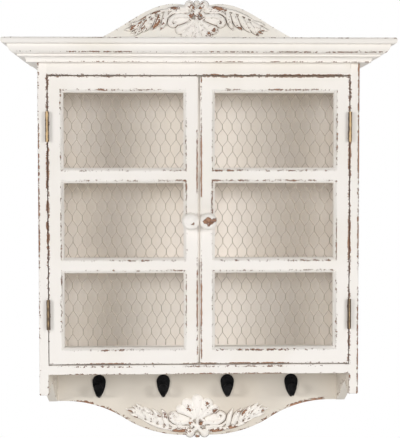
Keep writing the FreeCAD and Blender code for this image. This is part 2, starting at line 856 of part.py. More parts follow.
def magnetic_catch():
    """Double catch under the inner top, with a shallow slot for each magnet opposite the strike plates."""
    face = door_back + strike_thickness + catch_gap
    body = block(-catch_width / 2, catch_width / 2, face, face + catch_depth,
                 opening_top - catch_height, opening_top)
    x0 = meeting_edge + strike_inset
    middle = opening_top - catch_height / 2
    slot = block(x0, x0 + strike_width, face, face + catch_gap,
                 middle - catch_slot / 2, middle + catch_slot / 2)
    return one(body.cut(slot).cut(mirrored(slot)))


def carcass():
    """Every fixed piece, by node name."""
    upper, lower = shelf_tops()
    side = side_panel()
    moulding = cornice_return()
    hanger = hanger_plate()
    pieces = {
        "right_side": side,
        "left_side": mirrored(side),
        "inner_top": housed_board(front + board, opening_top, opening_top + inner_board),
        "bottom_board": bottom_board(),
        "upper_shelf": housed_board(shelf_front, upper - inner_board, upper),
        "lower_shelf": housed_board(shelf_front, lower - inner_board, lower),
        "back_panel": back_panel(),
        "frieze_rail": frieze_rail(),
        "apron_board": apron_board(),
        "cornice_front": cornice_front(),
        "cornice_right_return": moulding,
        "cornice_left_return": mirrored(moulding),
        "top_board": top_board(),
        "crest_board": crest_board(),
        "crest_ornament": crest_ornament(),
        "apron_ornament": apron_ornament(),
        "magnetic_catch": magnetic_catch(),
        "right_keyhole_plate": hanger,
        "left_keyhole_plate": mirrored(hanger),
    }
    screws = hanger_screw_set()
    pieces["keyhole_plate_screws"] = Part.makeCompound(screws + [mirrored(s) for s in screws])
    for number, x in enumerate(hook_xs, 1):
        pieces[f"hook_{number}"] = hook(x)
    pieces["hook_screws"] = Part.makeCompound([hook_screw(x) for x in hook_xs])
    for place, z in zip(("upper", "lower"), hinge_bottoms):
        fixed = leaf(1, (0, 2), pin_radius, z)
        pieces[f"right_{place}_side_leaf"] = fixed
        pieces[f"left_{place}_side_leaf"] = mirrored(fixed)
        pieces[f"right_{place}_hinge_pin"] = hinge_pin(z)
        pieces[f"left_{place}_hinge_pin"] = mirrored(hinge_pin(z))
    return pieces


def right_door():
    """Every piece of the right door, by name without its hand."""
    pieces = door_frame()
    pieces["wire_net"] = net()
    pieces["net_strips"] = Part.makeCompound(net_strips())
    pieces["knob"] = knob()
    pieces["knob_screw"] = knob_screw()
    pieces["strike_plate"] = strike_plate()
    for place, z in zip(("upper", "lower"), hinge_bottoms):
        pieces[f"{place}_door_leaf"] = leaf(-1, (1,), pin_radius + pin_running, z)
    return pieces


def main():
    os.makedirs("parts", exist_ok=True)
    nodes = carcass()
    for name, shape in right_door().items():
        nodes["right_" + name] = shape
        nodes["left_" + name] = mirrored(shape)
    for name, shape in sorted(nodes.items()):
        shape.exportStep(f"parts/{name}.step")
        print(name, "solids", len(shape.Solids), "valid", shape.isValid(), "volume", round(shape.Volume))
    print("nodes:", len(nodes))


main()
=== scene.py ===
# %% [markdown]
# A painted wall cabinet
#
# The cabinet hangs on a wall. Its doors are framed lights of wire netting, its cornice is mitred, and the
# same carved ornament sits on the crest above and, the other way up, on the apron below. Every board was
# painted cream and then rubbed back, so brown wood shows along its edges. The sizes all come from the
# frame that is loaded here: this file adds the soft edges, the carving, the wire and the finishes, and
# never moves a part.

# %% Load the frame
import json
import math

import bmesh
import bpy
import numpy as np
from mathutils import Matrix, Vector
from mathutils.bvhtree import BVHTree

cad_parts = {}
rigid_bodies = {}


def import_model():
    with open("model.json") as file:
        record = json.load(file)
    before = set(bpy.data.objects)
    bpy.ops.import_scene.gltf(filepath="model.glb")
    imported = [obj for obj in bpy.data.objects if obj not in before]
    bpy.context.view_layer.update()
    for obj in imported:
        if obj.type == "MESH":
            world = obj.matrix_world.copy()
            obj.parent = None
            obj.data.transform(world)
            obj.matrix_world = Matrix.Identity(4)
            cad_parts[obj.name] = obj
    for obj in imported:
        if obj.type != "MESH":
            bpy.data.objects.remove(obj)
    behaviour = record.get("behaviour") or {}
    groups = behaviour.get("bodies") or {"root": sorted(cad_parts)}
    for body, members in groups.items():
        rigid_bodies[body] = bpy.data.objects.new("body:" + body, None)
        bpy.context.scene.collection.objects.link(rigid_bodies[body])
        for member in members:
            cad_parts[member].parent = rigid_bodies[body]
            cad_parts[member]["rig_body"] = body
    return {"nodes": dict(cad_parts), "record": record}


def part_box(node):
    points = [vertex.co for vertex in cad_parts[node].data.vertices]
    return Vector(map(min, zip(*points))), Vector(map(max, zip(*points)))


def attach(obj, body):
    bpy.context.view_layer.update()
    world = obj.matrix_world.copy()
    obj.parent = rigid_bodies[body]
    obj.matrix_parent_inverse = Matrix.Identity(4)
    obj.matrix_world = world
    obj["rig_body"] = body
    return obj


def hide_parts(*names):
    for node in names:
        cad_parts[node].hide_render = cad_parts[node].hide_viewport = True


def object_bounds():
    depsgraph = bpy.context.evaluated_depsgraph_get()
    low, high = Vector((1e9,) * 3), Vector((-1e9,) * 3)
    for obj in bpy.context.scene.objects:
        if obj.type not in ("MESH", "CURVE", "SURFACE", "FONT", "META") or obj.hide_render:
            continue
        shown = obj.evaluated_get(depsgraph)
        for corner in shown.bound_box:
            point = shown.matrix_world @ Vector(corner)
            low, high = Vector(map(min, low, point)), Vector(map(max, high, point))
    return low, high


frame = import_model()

MM = 0.001
NODES = frame["nodes"]
BODY = {name: node["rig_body"] for name, node in NODES.items()}
SLOT = {part["node"]: part["material_slot"] for part in frame["record"]["subparts"]}
CAD_BOX = [list(corner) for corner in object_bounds()]
print("parts in the frame:", len(NODES), "box:", [[round(v, 4) for v in corner] for corner in CAD_BOX])

# %% [markdown]
# The camera
#
# The picture was taken from a little to the left of the cabinet and at about the height of its doors,
# with a long lens. A camera is three perpendicular directions and a place, and these are the columns of
# its matrix. The lens is given for a sensor whose 36 mm lie along the picture's longer side.

# %% Camera
PICTURE = (400, 438)
CAMERA_PLACE = Vector((-48.25, -1909.04, -127.05)) * MM
CAMERA_TURN = [math.radians(angle) for angle in (-1.6115, 2.5572, -0.053)]
FOCAL_PIXELS = 1087.38
SENSOR = 36


def make_camera():
    yaw, pitch, roll = CAMERA_TURN
    level = Vector((math.cos(yaw), math.sin(yaw), 0))
    ahead = Vector((-math.sin(yaw), math.cos(yaw), 0))
    above = Vector((0, 0, 1))
    forward = ahead * math.cos(pitch) - above * math.sin(pitch)
    upright = above * math.cos(pitch) + ahead * math.sin(pitch)
    right = level * math.cos(roll) + upright * math.sin(roll)
    up = upright * math.cos(roll) - level * math.sin(roll)
    data = bpy.data.cameras.new("camera")
    data.sensor_width = SENSOR
    data.lens = FOCAL_PIXELS * SENSOR / max(PICTURE)
    camera = bpy.data.objects.new("camera", data)
    matrix = Matrix((right, up, -forward)).transposed().to_4x4()
    matrix.translation = CAMERA_PLACE
    camera.matrix_world = matrix
    bpy.context.scene.collection.objects.link(camera)
    bpy.context.scene.camera = camera
    return camera


print("lens:", round(make_camera().data.lens, 2), "mm")

# %% [markdown]
# Writing nodes as sums
#
# A finish is a recipe: so much paint where there is no wear, so much wood where there is. Node by node
# that is hard to read, so one small class wraps a socket and lets Python's own signs add the Math nodes.
# Its partner, the tree, adds any other node from its type, the values or links of its sockets and its
# settings by name. The settings are set first, because they can change which sockets a node has. The
# same two classes serve the geometry trees further down.

# %% Sockets and trees


class Sock:
    """One output of a node. Sums and products of sockets add their own Math nodes."""

    def __init__(self, tree, socket):
        self.tree = tree
        self.socket = socket

    def math(self, operation, *others):
        """A Math node that takes this socket first, and then the others."""
        return self.tree.node("ShaderNodeMath", dict(enumerate((self, *others))), operation=operation)

    def __add__(self, other):
        return self.math("ADD", other)

    def __sub__(self, other):
        return self.math("SUBTRACT", other)

    def __rsub__(self, other):
        return self.tree.node("ShaderNodeMath", {0: other, 1: self}, operation="SUBTRACT")

    def __mul__(self, other):
        return self.math("MULTIPLY", other)

    def __truediv__(self, other):
        return self.math("DIVIDE", other)

    __radd__ = __add__
    __rmul__ = __mul__

    def smooth(self, low, high):
        """0 below low, 1 above high, and a soft slope between."""
        sockets = {"Value": self, "From Min": low, "From Max": high}
        return self.tree.node("ShaderNodeMapRange", sockets, interpolation_type="SMOOTHSTEP")


class Tree:
    """A node tree. node() adds any node: the values or links of its sockets, and its settings by name."""

    def __init__(self, tree):
        self.tree = tree

    def node(self, kind, sockets=None, out=0, **settings):
        made = self.tree.nodes.new(kind)
        for key, value in settings.items():
            setattr(made, key, value)
        for key, value in (sockets or {}).items():
            if isinstance(value, Sock):
                self.tree.links.new(value.socket, made.inputs[key])
            else:
                made.inputs[key].default_value = value
        return Sock(self, made.outputs[out]) if len(made.outputs) else None

    def axes(self, vector, names):
        """Some of a vector's parts, one socket for each letter of names."""
        return [self.node("ShaderNodeSeparateXYZ", {0: vector}, out=name) for name in names]

    def vector(self, **parts):
        return self.node("ShaderNodeCombineXYZ", parts)


class Finish(Tree):
    """A material, with the few steps that every finish here shares."""

    def __init__(self, name):
        self.material = bpy.data.materials.new(name)
        self.material.use_nodes = True
        super().__init__(self.material.node_tree)
        self.tree.nodes.clear()
        self.place = self.node("ShaderNodeTexCoord", out="Object")

    def noise(self, scale, detail=2.0, roughness=0.5, where=None):
        sockets = {"Vector": where or self.place, "Scale": scale, "Detail": detail, "Roughness": roughness}
        return self.node("ShaderNodeTexNoise", sockets)

    def along(self, grain, scale, across):
        """Places for a noise that has one scale along an axis and another across it."""
        scales = [scale if axis == grain else across for axis in "XYZ"]
        return self.node("ShaderNodeMapping", {"Vector": self.place, "Scale": scales})

    def attribute(self, name):
        return self.node("ShaderNodeAttribute", out="Fac", attribute_name=name)

    def mix(self, share, first, second):
        """A colour between two, by a share from 0 to 1."""
        return self.node("ShaderNodeMix", {0: share, 6: first, 7: second}, out=2, data_type="RGBA")

    def surface(self, relief, depth, sockets):
        """Ends the recipe: a Principled surface with a relief of the given depth in metres."""
        height = {"Height": relief, "Distance": depth, "Strength": 1.0}
        bump = self.node("ShaderNodeBump", height, out="Normal")
        shader = self.node("ShaderNodeBsdfPrincipled", dict(sockets, Normal=bump))
        self.node("ShaderNodeOutputMaterial", {"Surface": shader})
        return self.material


def srgb(red, green, blue):
    """A colour as seen on a screen, 0 to 255, turned into the linear light that shaders use."""
    linear = [((c / 255 + 0.055) / 1.055) ** 2.4 if c > 10 else c / 255 / 12.92 for c in (red, green, blue)]
    return (*linear, 1.0)


print("socket and tree classes are ready")

# %% [markdown]
# Rubbed cream paint
#
# Paint wears where hands and cloths reach: on the arrises. A shader can't know where an edge is, so each
# board carries a number called wear at its vertices, highest on an arris and 0 a few millimetres away.
# Noise at three scales breaks that band up: the broad one picks the worn stretches, the middle one makes
# dashes and the fine one ragged borders. Where the sum passes a threshold the paint is gone and brown
# wood shows, a paint film lower: lighter in large patches, and dark in thin marks and at the rims, where
# dirt and painted shade under the paint's edge darken it. Two more numbers mark the hollows, darkened
# with dirt and painted shade, and the painted shade under the floor. The boards' cream is the paint
# itself. The frieze, the crest and the apron have darker creams as painted shade, and the inside has a
# brighter, warmer cream as painted light.

# %% Paint
# The boards' cream is the paint. The frieze's cream is darker as painted shade under the cornice, the
# crest's as painted shade high at the back, the apron's as painted shade below the floor, and the inside's
# is brighter and warmer as painted light
CREAMS_AND_PAINTED_LIGHT = {
    "boards": (srgb(245, 240, 234), srgb(240, 234, 225)),
    "frieze": (srgb(239, 234, 228), srgb(234, 228, 219)),
    "crest": (srgb(238, 234, 226), srgb(232, 226, 216)),
    "apron": (srgb(222, 214, 202), srgb(215, 205, 191)),
    "inside": (srgb(252, 245, 237), srgb(248, 240, 229)),
}
# Dark wood at the rims of bare marks and in thin marks: dirt and painted shade under the paint's edge
BARE_RIM_DIRT_AND_SHADE = srgb(108, 73, 55)
BARE_LIGHT = srgb(180, 138, 110)
# The colour of the hollows and creases: dirt and painted shade
GRIME_AND_SHADE = srgb(104, 82, 66)
FILM = 0.25 * MM
STREAKS = (6.0, 160.0)
DASH_ACROSS = 65.0
RAGGED = 480.0
CHIPS = 150.0
GONE = 0.6
BORDER = 0.06


def painted(name, grain, cream_name, flecks, dash=140.0, stretch=9.0, patchy=1.1):
    """Cream paint over brown wood. grain is the axis that the brush and the wood's figure follow, flecks
    the threshold of the loose chips, dash and stretch the scales of the marks and of the worn stretches,
    and patchy how much those stretches differ.
    """
    finish = Finish(name)
    figure = finish.noise(1.0, 4.0, 0.6, finish.along(grain, *STREAKS))
    broad = finish.noise(stretch, 2.0).smooth(0.32, 0.68)
    dashes = finish.noise(1.0, 2.0, 0.5, finish.along(grain, dash, dash + DASH_ACROSS))
    ragged = finish.noise(RAGGED, 2.0, 0.6)
    wear = finish.attribute("wear")
    crease = finish.attribute("crease")
    reach = wear * (broad * patchy + 0.825 - patchy / 2) + (dashes - 0.5) * 2.2 + (ragged - 0.5) * 2.3
    chips = (finish.noise(CHIPS, 2.0, 0.55) - 0.5) * 1.6 + (broad - 0.5) * 0.3 + (ragged - 0.5) * 0.5
    rubbed = reach.smooth(GONE, GONE + BORDER) * wear.smooth(0.1, 0.34)
    bare = rubbed + chips.smooth(flecks, flecks + BORDER)
    bare = finish.node("ShaderNodeClamp", {"Value": bare})
    cream = finish.mix(finish.noise(9.0, 3.0).smooth(0.35, 0.75), *CREAMS_AND_PAINTED_LIGHT[cream_name])
    # Hollows darkened with dirt and painted shade
    soiled_and_shaded = (crease * (broad * 0.7 + 0.6) + (dashes - 0.5) * 0.9).smooth(0.3, 0.75)
    # Painted shade under the floor: the apron's darker cream on the sides' inner faces and foot edges
    cream = finish.mix(finish.attribute("shade"), cream, CREAMS_AND_PAINTED_LIGHT["apron"][0])
    cream = finish.mix(soiled_and_shaded, cream, GRIME_AND_SHADE)
    # Bare wood is darkest at rims and in thin marks, from dirt and painted shade under the paint's edge
    wood = finish.mix(reach.smooth(0.75, 1.4) * 0.8 + figure * 0.3 - 0.1, BARE_RIM_DIRT_AND_SHADE, BARE_LIGHT)
    relief = (1 - bare) + figure * 0.12 + ragged * 0.08
    return finish.surface(relief, FILM, {
        "Base Color": finish.mix(bare, cream, wood),
        "Roughness": figure * 0.15 + bare * 0.2 + 0.48,
        "Specular IOR Level": 0.35,
    })


PAINTED = {axis: painted("cream_paint_" + axis, axis, "boards", 0.96) for axis in "XYZ"}
# The inside's brighter, warmer cream is painted light, the warm light bounced about inside the cabinet
LIT_INSIDE_PAINTS = {axis: painted("inside_paint_" + axis, axis, "inside", 0.95) for axis in "XYZ"}
# Darker creams as painted shade: the frieze under the cornice, the crest high at the back, the apron below
# the floor
SHADED_PAINTS = {
    "frieze_rail": painted("frieze_paint", "X", "frieze", 1.0),
    "crest_board": painted("crest_paint", "X", "crest", 1.05),
    "apron_board": painted("apron_paint", "X", "apron", 1.05, 200.0, 70.0, 1.3),
}
CARVED_PAINT = painted("carving_paint", "X", "boards", 0.94, 150.0, patchy=0.3)
print("paints:", len(PAINTED) + len(LIT_INSIDE_PAINTS) + len(SHADED_PAINTS) + 1)

# %% [markdown]
# Metals and the catch
#
# The hinges are brass that has gone brown. The bright band along the middle of each barrel is a painted
# highlight, the brown on the barrels' sides is tarnish and painted shade, and the lower hinges are
# browner. The hooks are black castings with a grainy skin, whose lighter mottles are painted glints. The
# netting is dull wire, the hangers and screws are zinc plated, and the catch is moulded. Each is a base
# colour with some drift, a roughness that varies and a fine relief.

# %% Metals


def metal(name, dark, light, grain_scale, roughness, depth, metallic=1.0, shine=0.5):
    finish = Finish(name)
    drift = finish.noise(60.0, 3.0, 0.6)
    skin = finish.noise(grain_scale, 3.0, 0.65)
    tone = (drift * 0.6 + skin * 0.6).smooth(0.35, 0.85)
    return finish.surface(skin, depth, {
        "Base Color": finish.mix(tone, dark, light),
        "Metallic": metallic,
        "Specular IOR Level": shine,
        "Roughness": skin * 0.25 + roughness,
    })


def old_brass(name, pin_x):
    """Brown brass, browner on the lower hinges. Near the pin it is bright as a painted highlight along the
    barrel, and on the barrel's sides the brown is painted shade as well as tarnish.
    """
    finish = Finish(name)
    across, height = finish.axes(finish.place, "XZ")
    away = (across.math("ABSOLUTE") - pin_x).math("ABSOLUTE")
    drift = finish.noise(140.0, 3.0, 0.6)
    skin = finish.noise(900.0, 3.0, 0.65)
    # Darker towards the bottom: the lower hinges are browner
    lower_hinges_darker = (height * -1).smooth(0.15, 0.3) * 0.5
    # Brown away from the pin is tarnish, and painted shade on the barrel's sides; bright near the pin is a
    # painted highlight
    brown = (away / (2.4 * MM) + (drift - 0.5) * 1.6 + lower_hinges_darker).smooth(0.3, 0.9)
    return finish.surface(skin, 0.05 * MM, {
        "Base Color": finish.mix(brown, srgb(184, 156, 114), srgb(76, 59, 42)),
        "Metallic": 0.3,
        "Roughness": skin * 0.2 + 0.4,
    })


PIN_X = sum(corner.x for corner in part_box("right_upper_hinge_pin")) / 2
# Brass with a painted highlight along the middle of its barrels
HIGHLIT_BRASS = old_brass("old_brass", PIN_X)
# Black iron whose lighter mottles in the base colour are painted glints
GLINTING_IRON = metal("black_iron", srgb(1, 1, 1), srgb(36, 35, 36), 420.0, 0.30, 0.2 * MM, 0.0, 0.04)
WIRE = metal("netting_wire", srgb(152, 142, 128), srgb(198, 188, 173), 1500.0, 0.45, 0.02 * MM, 0.3)
ZINC = metal("zinc_plate", srgb(150, 150, 146), srgb(196, 196, 190), 1200.0, 0.30, 0.02 * MM)
MOULDED = metal("moulded_catch", srgb(214, 206, 192), srgb(228, 222, 210), 1600.0, 0.45, 0.02 * MM, 0.0)

FINISH_OF_SLOT = {"old_brass": HIGHLIT_BRASS, "black_iron": GLINTING_IRON, "steel": ZINC, "catch_plastic": MOULDED}
for node_name, node in NODES.items():
    chosen = FINISH_OF_SLOT.get(SLOT[node_name])
    if chosen:
        node.data.materials.clear()
        node.data.materials.append(chosen)
print("metal parts finished:", sum(SLOT[n] in FINISH_OF_SLOT for n in NODES))

# %% [markdown]
# Small helpers
#
# A new piece is linked to the scene, rides on the body of the part that it stands for, and takes a
# finish in place of that part's. Modifiers are settled into a plain mesh before that.

# %% Helpers


def settle(piece):
    """Leaves the result of a piece's modifiers as its plain mesh."""
    graph = bpy.context.evaluated_depsgraph_get()
    final = piece.evaluated_get(graph)
    mesh = bpy.data.meshes.new_from_object(final, preserve_all_data_layers=True, depsgraph=graph)
    piece.modifiers.clear()
    piece.data = mesh
    return piece


def shade_smooth(mesh):
    mesh.polygons.foreach_set("use_smooth", [True] * len(mesh.polygons))


def mesh_from(bm, name):
    """Ends the work on a bmesh and leaves a mesh."""
    mesh = bpy.data.meshes.new(name)
    bm.to_mesh(mesh)
    bm.free()
    return mesh


def new_piece(name, mesh):
    piece = bpy.data.objects.new(name, mesh)
    bpy.context.scene.collection.objects.link(piece)
    return piece


def stand_for(piece, node_name, material):
    """The piece takes the place of a CAD part: its body and its look."""
    piece.data.materials.clear()
    piece.data.materials.append(material)
    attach(piece, BODY[node_name])
    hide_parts(node_name)
    return piece


def set_numbers(mesh, name, values):
    """Stores one number per vertex under a name that a material can read."""
    layer = mesh.attributes.new(name, "FLOAT", "POINT")
    layer.data.foreach_set("value", np.asarray(values, np.float32))


def positions(mesh):
    flat = np.zeros(len(mesh.vertices) * 3, np.float32)
    mesh.vertices.foreach_get("co", flat)
    return flat.reshape(-1, 3).astype(float)


print("helpers are ready")

# %% [markdown]
# Boards with soft arrises
#
# No painted board has a knife edge, and a sharp CAD edge catches no light. Each board is copied, its
# triangles are merged back into whole faces, and the arrises that are open to the air are bevelled. An
# edge that meets another board of the same body flush is a glue line, so it stays crisp: a point held
# just outside the edge is tested for how near the neighbouring boards are.

# %% Arrises
SHARP = math.radians(32)
FLAT = math.radians(0.5)
WELD = 0.001 * MM
FLUSH = 0.4 * MM
TESTED = (0.15, 0.5, 0.85)
SIDES = ("left_side", "right_side")
BOXES = {name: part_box(name) for name in NODES}


def surface_of(mesh):
    """A mesh that can be asked for its nearest point, or where a ray meets it."""
    corners = [v.co for v in mesh.vertices]
    return BVHTree.FromPolygons(corners, [p.vertices[:] for p in mesh.polygons])


SURFACES = {name: surface_of(node.data) for name, node in NODES.items()}


def neighbours(name):
    """The other parts of the same body whose boxes touch this one's."""
    low, high = BOXES[name]
    found = []
    for other, (olow, ohigh) in BOXES.items():
        near = all(olow[i] < high[i] + MM and ohigh[i] > low[i] - MM for i in range(3))
        if other != name and BODY[other] == BODY[name] and near:
            found.append(other)
    return found


def open_to_air(edge, others):
    """Whether an edge's outside is free along most of its length."""
    out = (edge.link_faces[0].normal + edge.link_faces[1].normal).normalized() * FLUSH
    a, b = (v.co for v in edge.verts)
    covered = 0
    for share in TESTED:
        spot = a.lerp(b, share) + out
        covered += any(SURFACES[other].find_nearest(spot, FLUSH * 0.95)[0] is not None for other in others)
    return covered < 2


def cut_plane(bm, axis, level):
    normal = [float(i == axis) for i in range(3)]
    geometry = bm.verts[:] + bm.edges[:] + bm.faces[:]
    bmesh.ops.bisect_plane(bm, geom=geometry, plane_co=[level * n for n in normal], plane_no=normal)


def cut_beside(bm, name, others):
    """Cuts a board level with its neighbours: an edge can be open in one stretch and flush in the next."""
    low, high = BOXES[name]
    for axis in range(3):
        for level in sorted({round(corner[axis], 5) for other in others for corner in BOXES[other]}):
            if low[axis] + MM < level < high[axis] - MM:
                cut_plane(bm, axis, level)


def whole_board(name):
    """A board with its faces made whole again, and those of its arrises that are open to the air."""
    bm = bmesh.new()
    bm.from_mesh(NODES[name].data)
    bmesh.ops.remove_doubles(bm, verts=bm.verts, dist=WELD)
    bmesh.ops.dissolve_limit(bm, angle_limit=FLAT, verts=bm.verts, edges=bm.edges)
    others = neighbours(name)
    if name in SIDES:
        cut_beside(bm, name, others)
    bm.normal_update()
    arrises = [e for e in bm.edges if len(e.link_faces) == 2 and e.is_convex
               and e.calc_face_angle(0) > SHARP and open_to_air(e, others)]
    return bm, arrises


def roundable(arrises, radius):
    """The arrises that a bevel fits. Those at a tiny detail would choke it, so they stay crisp."""
    chosen = set(arrises)
    while True:
        choked = {e for e in chosen for v in e.verts for o in v.link_edges
                  if o not in chosen and o.calc_length() < radius * 1.5}
        if not choked:
            return [e for e in arrises if e in chosen]
        chosen -= choked


print("surfaces to test against:", len(SURFACES))

# %% [markdown]
# The wear number can only fade between vertices, so a straight board is cut in rows beside its worn lines
# and just past their ends, which stops the wear at a joint. The crest and the apron are curved, so their
# faces get one row that follows the outline instead. Under the floor the sides take the apron's darker
# cream as painted shade on their inner faces and on the edges of their feet, where the number called
# shade is 1.

# %% Soft boards
LONG = 12 * MM
STRAIGHT = 0.01 * MM
WORN_ROWS = (0.8, 1.8, 3.0)
WORN_REACH = max(WORN_ROWS) * MM
LEAST_WORN = 0.3
SHAPED_BOARDS = {"crest_board": 2.6 * MM, "apron_board": 4.5 * MM}
FLATTENED = np.array([1, 0.45, 1])
SQUARE_ON = 0.999
SIDE_LOW, SIDE_HIGH = BOXES["right_side"]
FRONT = SIDE_LOW.y
FLOOR_LOW, FLOOR_HIGH = BOXES["bottom_board"]
HAIR = 0.1 * MM


def nearest_on_edges(points, starts, ends):
    """Distance from each point to each edge, as a table of points by edges."""
    along = ends - starts
    length2 = np.maximum((along ** 2).sum(1), 1e-12)
    offset = points[:, None, :] - starts[None, :, :]
    share = np.clip((offset * along[None]).sum(2) / length2[None], 0, 1)
    return np.linalg.norm(offset - share[..., None] * along[None], axis=2)


def rows_beside(starts, ends, weights, extra):
    """Levels, axis by axis, where cuts give a board vertices beside its worn lines and past their ends."""
    levels = [set(), set(), set()]
    for start, end, _, reach in extra:
        axis = max(range(3), key=lambda i: abs(end[i] - start[i]))
        spots = (start[axis], end[axis], start[axis] - reach, end[axis] + reach)
        levels[axis].update(round(spot, 5) for spot in spots)
    for start, end, weight in zip(starts, ends, weights):
        along = np.abs(end - start)
        axis = int(along.argmax())
        if weight > LEAST_WORN and along[axis] > LONG and along.sum() - along[axis] < STRAIGHT:
            first, last = sorted((start[axis], end[axis]))
            levels[axis].update((round(first - WORN_REACH, 5), round(last + WORN_REACH, 5)))
            for other in {0, 1, 2} - {axis}:
                for step in WORN_ROWS:
                    levels[other].update(round(start[other] + side * step * MM, 5) for side in (-1, 1))
    return levels


# Painted shade: marks the sides' inner faces and foot edges below the floor for the apron's darker cream
def shade_under_floor(mesh):
    x, y, z = positions(mesh).T
    shaded = np.abs(x) < np.where(y > FRONT + 3 * MM, SIDE_HIGH.x - HAIR, SIDE_LOW.x + HAIR)
    set_numbers(mesh, "shade", shaded & (z < FLOOR_LOW.z + HAIR))


def soft_board(name, radius, rubbed, extra):
    """A copy of a board with rounded arrises and its wear number. extra are worn lines off the arrises."""
    bm, arrises = whole_board(name)
    inset = SHAPED_BOARDS.get(name)
    reach = radius + inset if inset else WORN_REACH
    edges = [[v.co.copy() for v in e.verts] for e in arrises]
    lines = [(a, b, rubbed((a + b) / 2), reach) for a, b in edges] + extra
    starts, ends, weights, reaches = (np.array(column) for column in zip(*lines))
    bmesh.ops.bevel(bm, geom=roundable(arrises, radius), offset=radius, offset_type="OFFSET", segments=3,
                    profile=0.5, affect="EDGES", clamp_overlap=True)
    if inset:
        faces = [f for f in bm.faces if abs(f.normal.y) > SQUARE_ON]
        bmesh.ops.inset_region(bm, faces=faces, thickness=inset, use_boundary=True, use_even_offset=True)
    else:
        for axis, levels in enumerate(rows_beside(starts, ends, weights, extra)):
            for level in sorted(levels):
                cut_plane(bm, axis, level)
    mesh = mesh_from(bm, name + "_board")
    away = nearest_on_edges(positions(mesh) * FLATTENED, starts * FLATTENED, ends * FLATTENED)
    set_numbers(mesh, "wear", (np.clip(1 - away / reaches[None], 0, 1) * weights[None]).max(1))
    if name in SIDES:
        shade_under_floor(mesh)
    shade_smooth(mesh)
    mesh.set_sharp_from_angle(angle=SHARP)
    piece = new_piece(name + "_board", mesh)
    piece.modifiers.new("normals", "WEIGHTED_NORMAL").keep_sharp = True
    settle(piece)
    print(piece.name, "arrises:", len(arrises), "faces:", len(mesh.polygons))
    size = BOXES[name][1] - BOXES[name][0]
    grain = "XYZ"[max(range(3), key=lambda i: size[i])]
    paints = LIT_INSIDE_PAINTS if SLOT[name] == "inside_paint" else PAINTED
    return stand_for(piece, name, SHADED_PAINTS.get(name, paints[grain]))


print("rows beside a worn arris, in millimetres:", WORN_ROWS)

# %% [markdown]
# How hard an arris was rubbed depends on where it is. Each rule takes the middle of an edge and gives a
# number, from 0 for untouched paint to more than 1 for an edge that is bare along most of its length.

# %% Where the paint is rubbed
DOOR_LOW, DOOR_HIGH = BOXES["right_hinge_stile"]
MEETING = BOXES["right_meeting_stile"][0].x
HINGE_SIDE = DOOR_HIGH.x
KNOB_Z = (BOXES["right_knob"][0].z + BOXES["right_knob"][1].z) / 2
BESIDE = 4 * MM
CHIPPED_APRON = ((-208, -115), (115, 225))


def rubbed_door(middle):
    """Heaviest round the outside of a door, most at its foot, in dashes round its lights, slight behind."""
    meeting = abs(middle.x) < MEETING + BESIDE
    upright = meeting and abs(middle.z - KNOB_Z) < 200 * MM
    if upright or middle.y >= FRONT + 0.5 * MM:
        return 0.0 if meeting else 0.2
    if abs(middle.z - DOOR_LOW.z) < MM:
        return 1.3
    if abs(middle.z - DOOR_HIGH.z) < MM:
        return 0.95
    return 1.1 if abs(abs(middle.x) - HINGE_SIDE) < MM else 0.7


def rubbed_side(middle):
    """Worst beside the doors, then on the front of the feet and down the outer front edge."""
    if middle.y > FRONT + 3 * MM:
        return 0.5
    if middle.z < FLOOR_LOW.z - 20 * MM:
        return 0.9
    return 1.0 if abs(middle.x) < HINGE_SIDE + BESIDE else 0.7


def rubbed_floor(middle):
    """The floor's upper arris lies in the gap under the doors, and its lower one is knocked by cups."""
    return 0.3 if middle.z > FLOOR_LOW.z + 8 * MM else 0.95


def rubbed_apron(middle):
    """The apron's lower edge is chipped on both sides of the carving."""
    return 1.15 if any(low * MM < middle.x < high * MM for low, high in CHIPPED_APRON) else 0.4


def evenly(amount):
    return lambda middle: amount


RULES = (rubbed_door, rubbed_side, rubbed_floor, rubbed_apron)
print("rules:", [rule.__name__ for rule in RULES])

# %% [markdown]
# Now the boards themselves: for each one the radius of its arrises in millimetres, and its rule. Some
# worn lines lie on no arris that was bevelled, such as the round of the cornice, so they are listed after
# that, each with an amount and a reach.

# %% Making the boards
HANDS = {"left": -1, "right": 1}
DOOR_MEMBERS = ("hinge_stile", "meeting_stile", "top_rail", "upper_middle_rail", "lower_middle_rail",
                "bottom_rail")
BOARDS = {f"{hand}_{member}": (1.2, rubbed_door) for hand in HANDS for member in DOOR_MEMBERS}
BOARDS.update({hand + "_net_strips": (0.6, evenly(0.2)) for hand in HANDS})
BOARDS.update({side: (0.8, rubbed_side) for side in SIDES})
BOARDS.update({
    "frieze_rail": (0.8, evenly(0.85)),
    "bottom_board": (0.8, rubbed_floor),
    "apron_board": (1.6, rubbed_apron),
    "crest_board": (1.6, evenly(0.4)),
    "cornice_front": (0.4, evenly(0.12)),
    "cornice_left_return": (0.4, evenly(0.16)),
    "cornice_right_return": (0.4, evenly(0.16)),
    "top_board": (0.8, evenly(0.1)),
    "inner_top": (0.8, evenly(0.2)),
    "upper_shelf": (0.8, evenly(0.12)),
    "lower_shelf": (0.8, evenly(0.12)),
    "back_panel": (0.4, evenly(0.1)),
})
CORNICE_LOW, CORNICE_HIGH = BOXES["cornice_front"]
NOSE_LOW, NOSE_HIGH = BOXES["top_board"]
CHAMFER = MEETING + 2.4 * MM
SIDE_LINE = SIDE_HIGH.x - 1.2 * MM
NOSE_ROUND = 1.2 * MM


def level_line(x, y, z, amount, reach):
    return Vector((-x, y, z)), Vector((x, y, z)), amount, reach * MM


def upright_line(x, z0, z1, amount, reach):
    return Vector((x, FRONT, z0)), Vector((x, FRONT, z1)), amount, reach * MM


def meeting_lines(x, amount, spans):
    """The worn front lines of a meeting stile, above and below the hand's place at the knob."""
    return [upright_line(x, KNOB_Z + low * MM, KNOB_Z + high * MM, amount, 1.9) for low, high in spans]


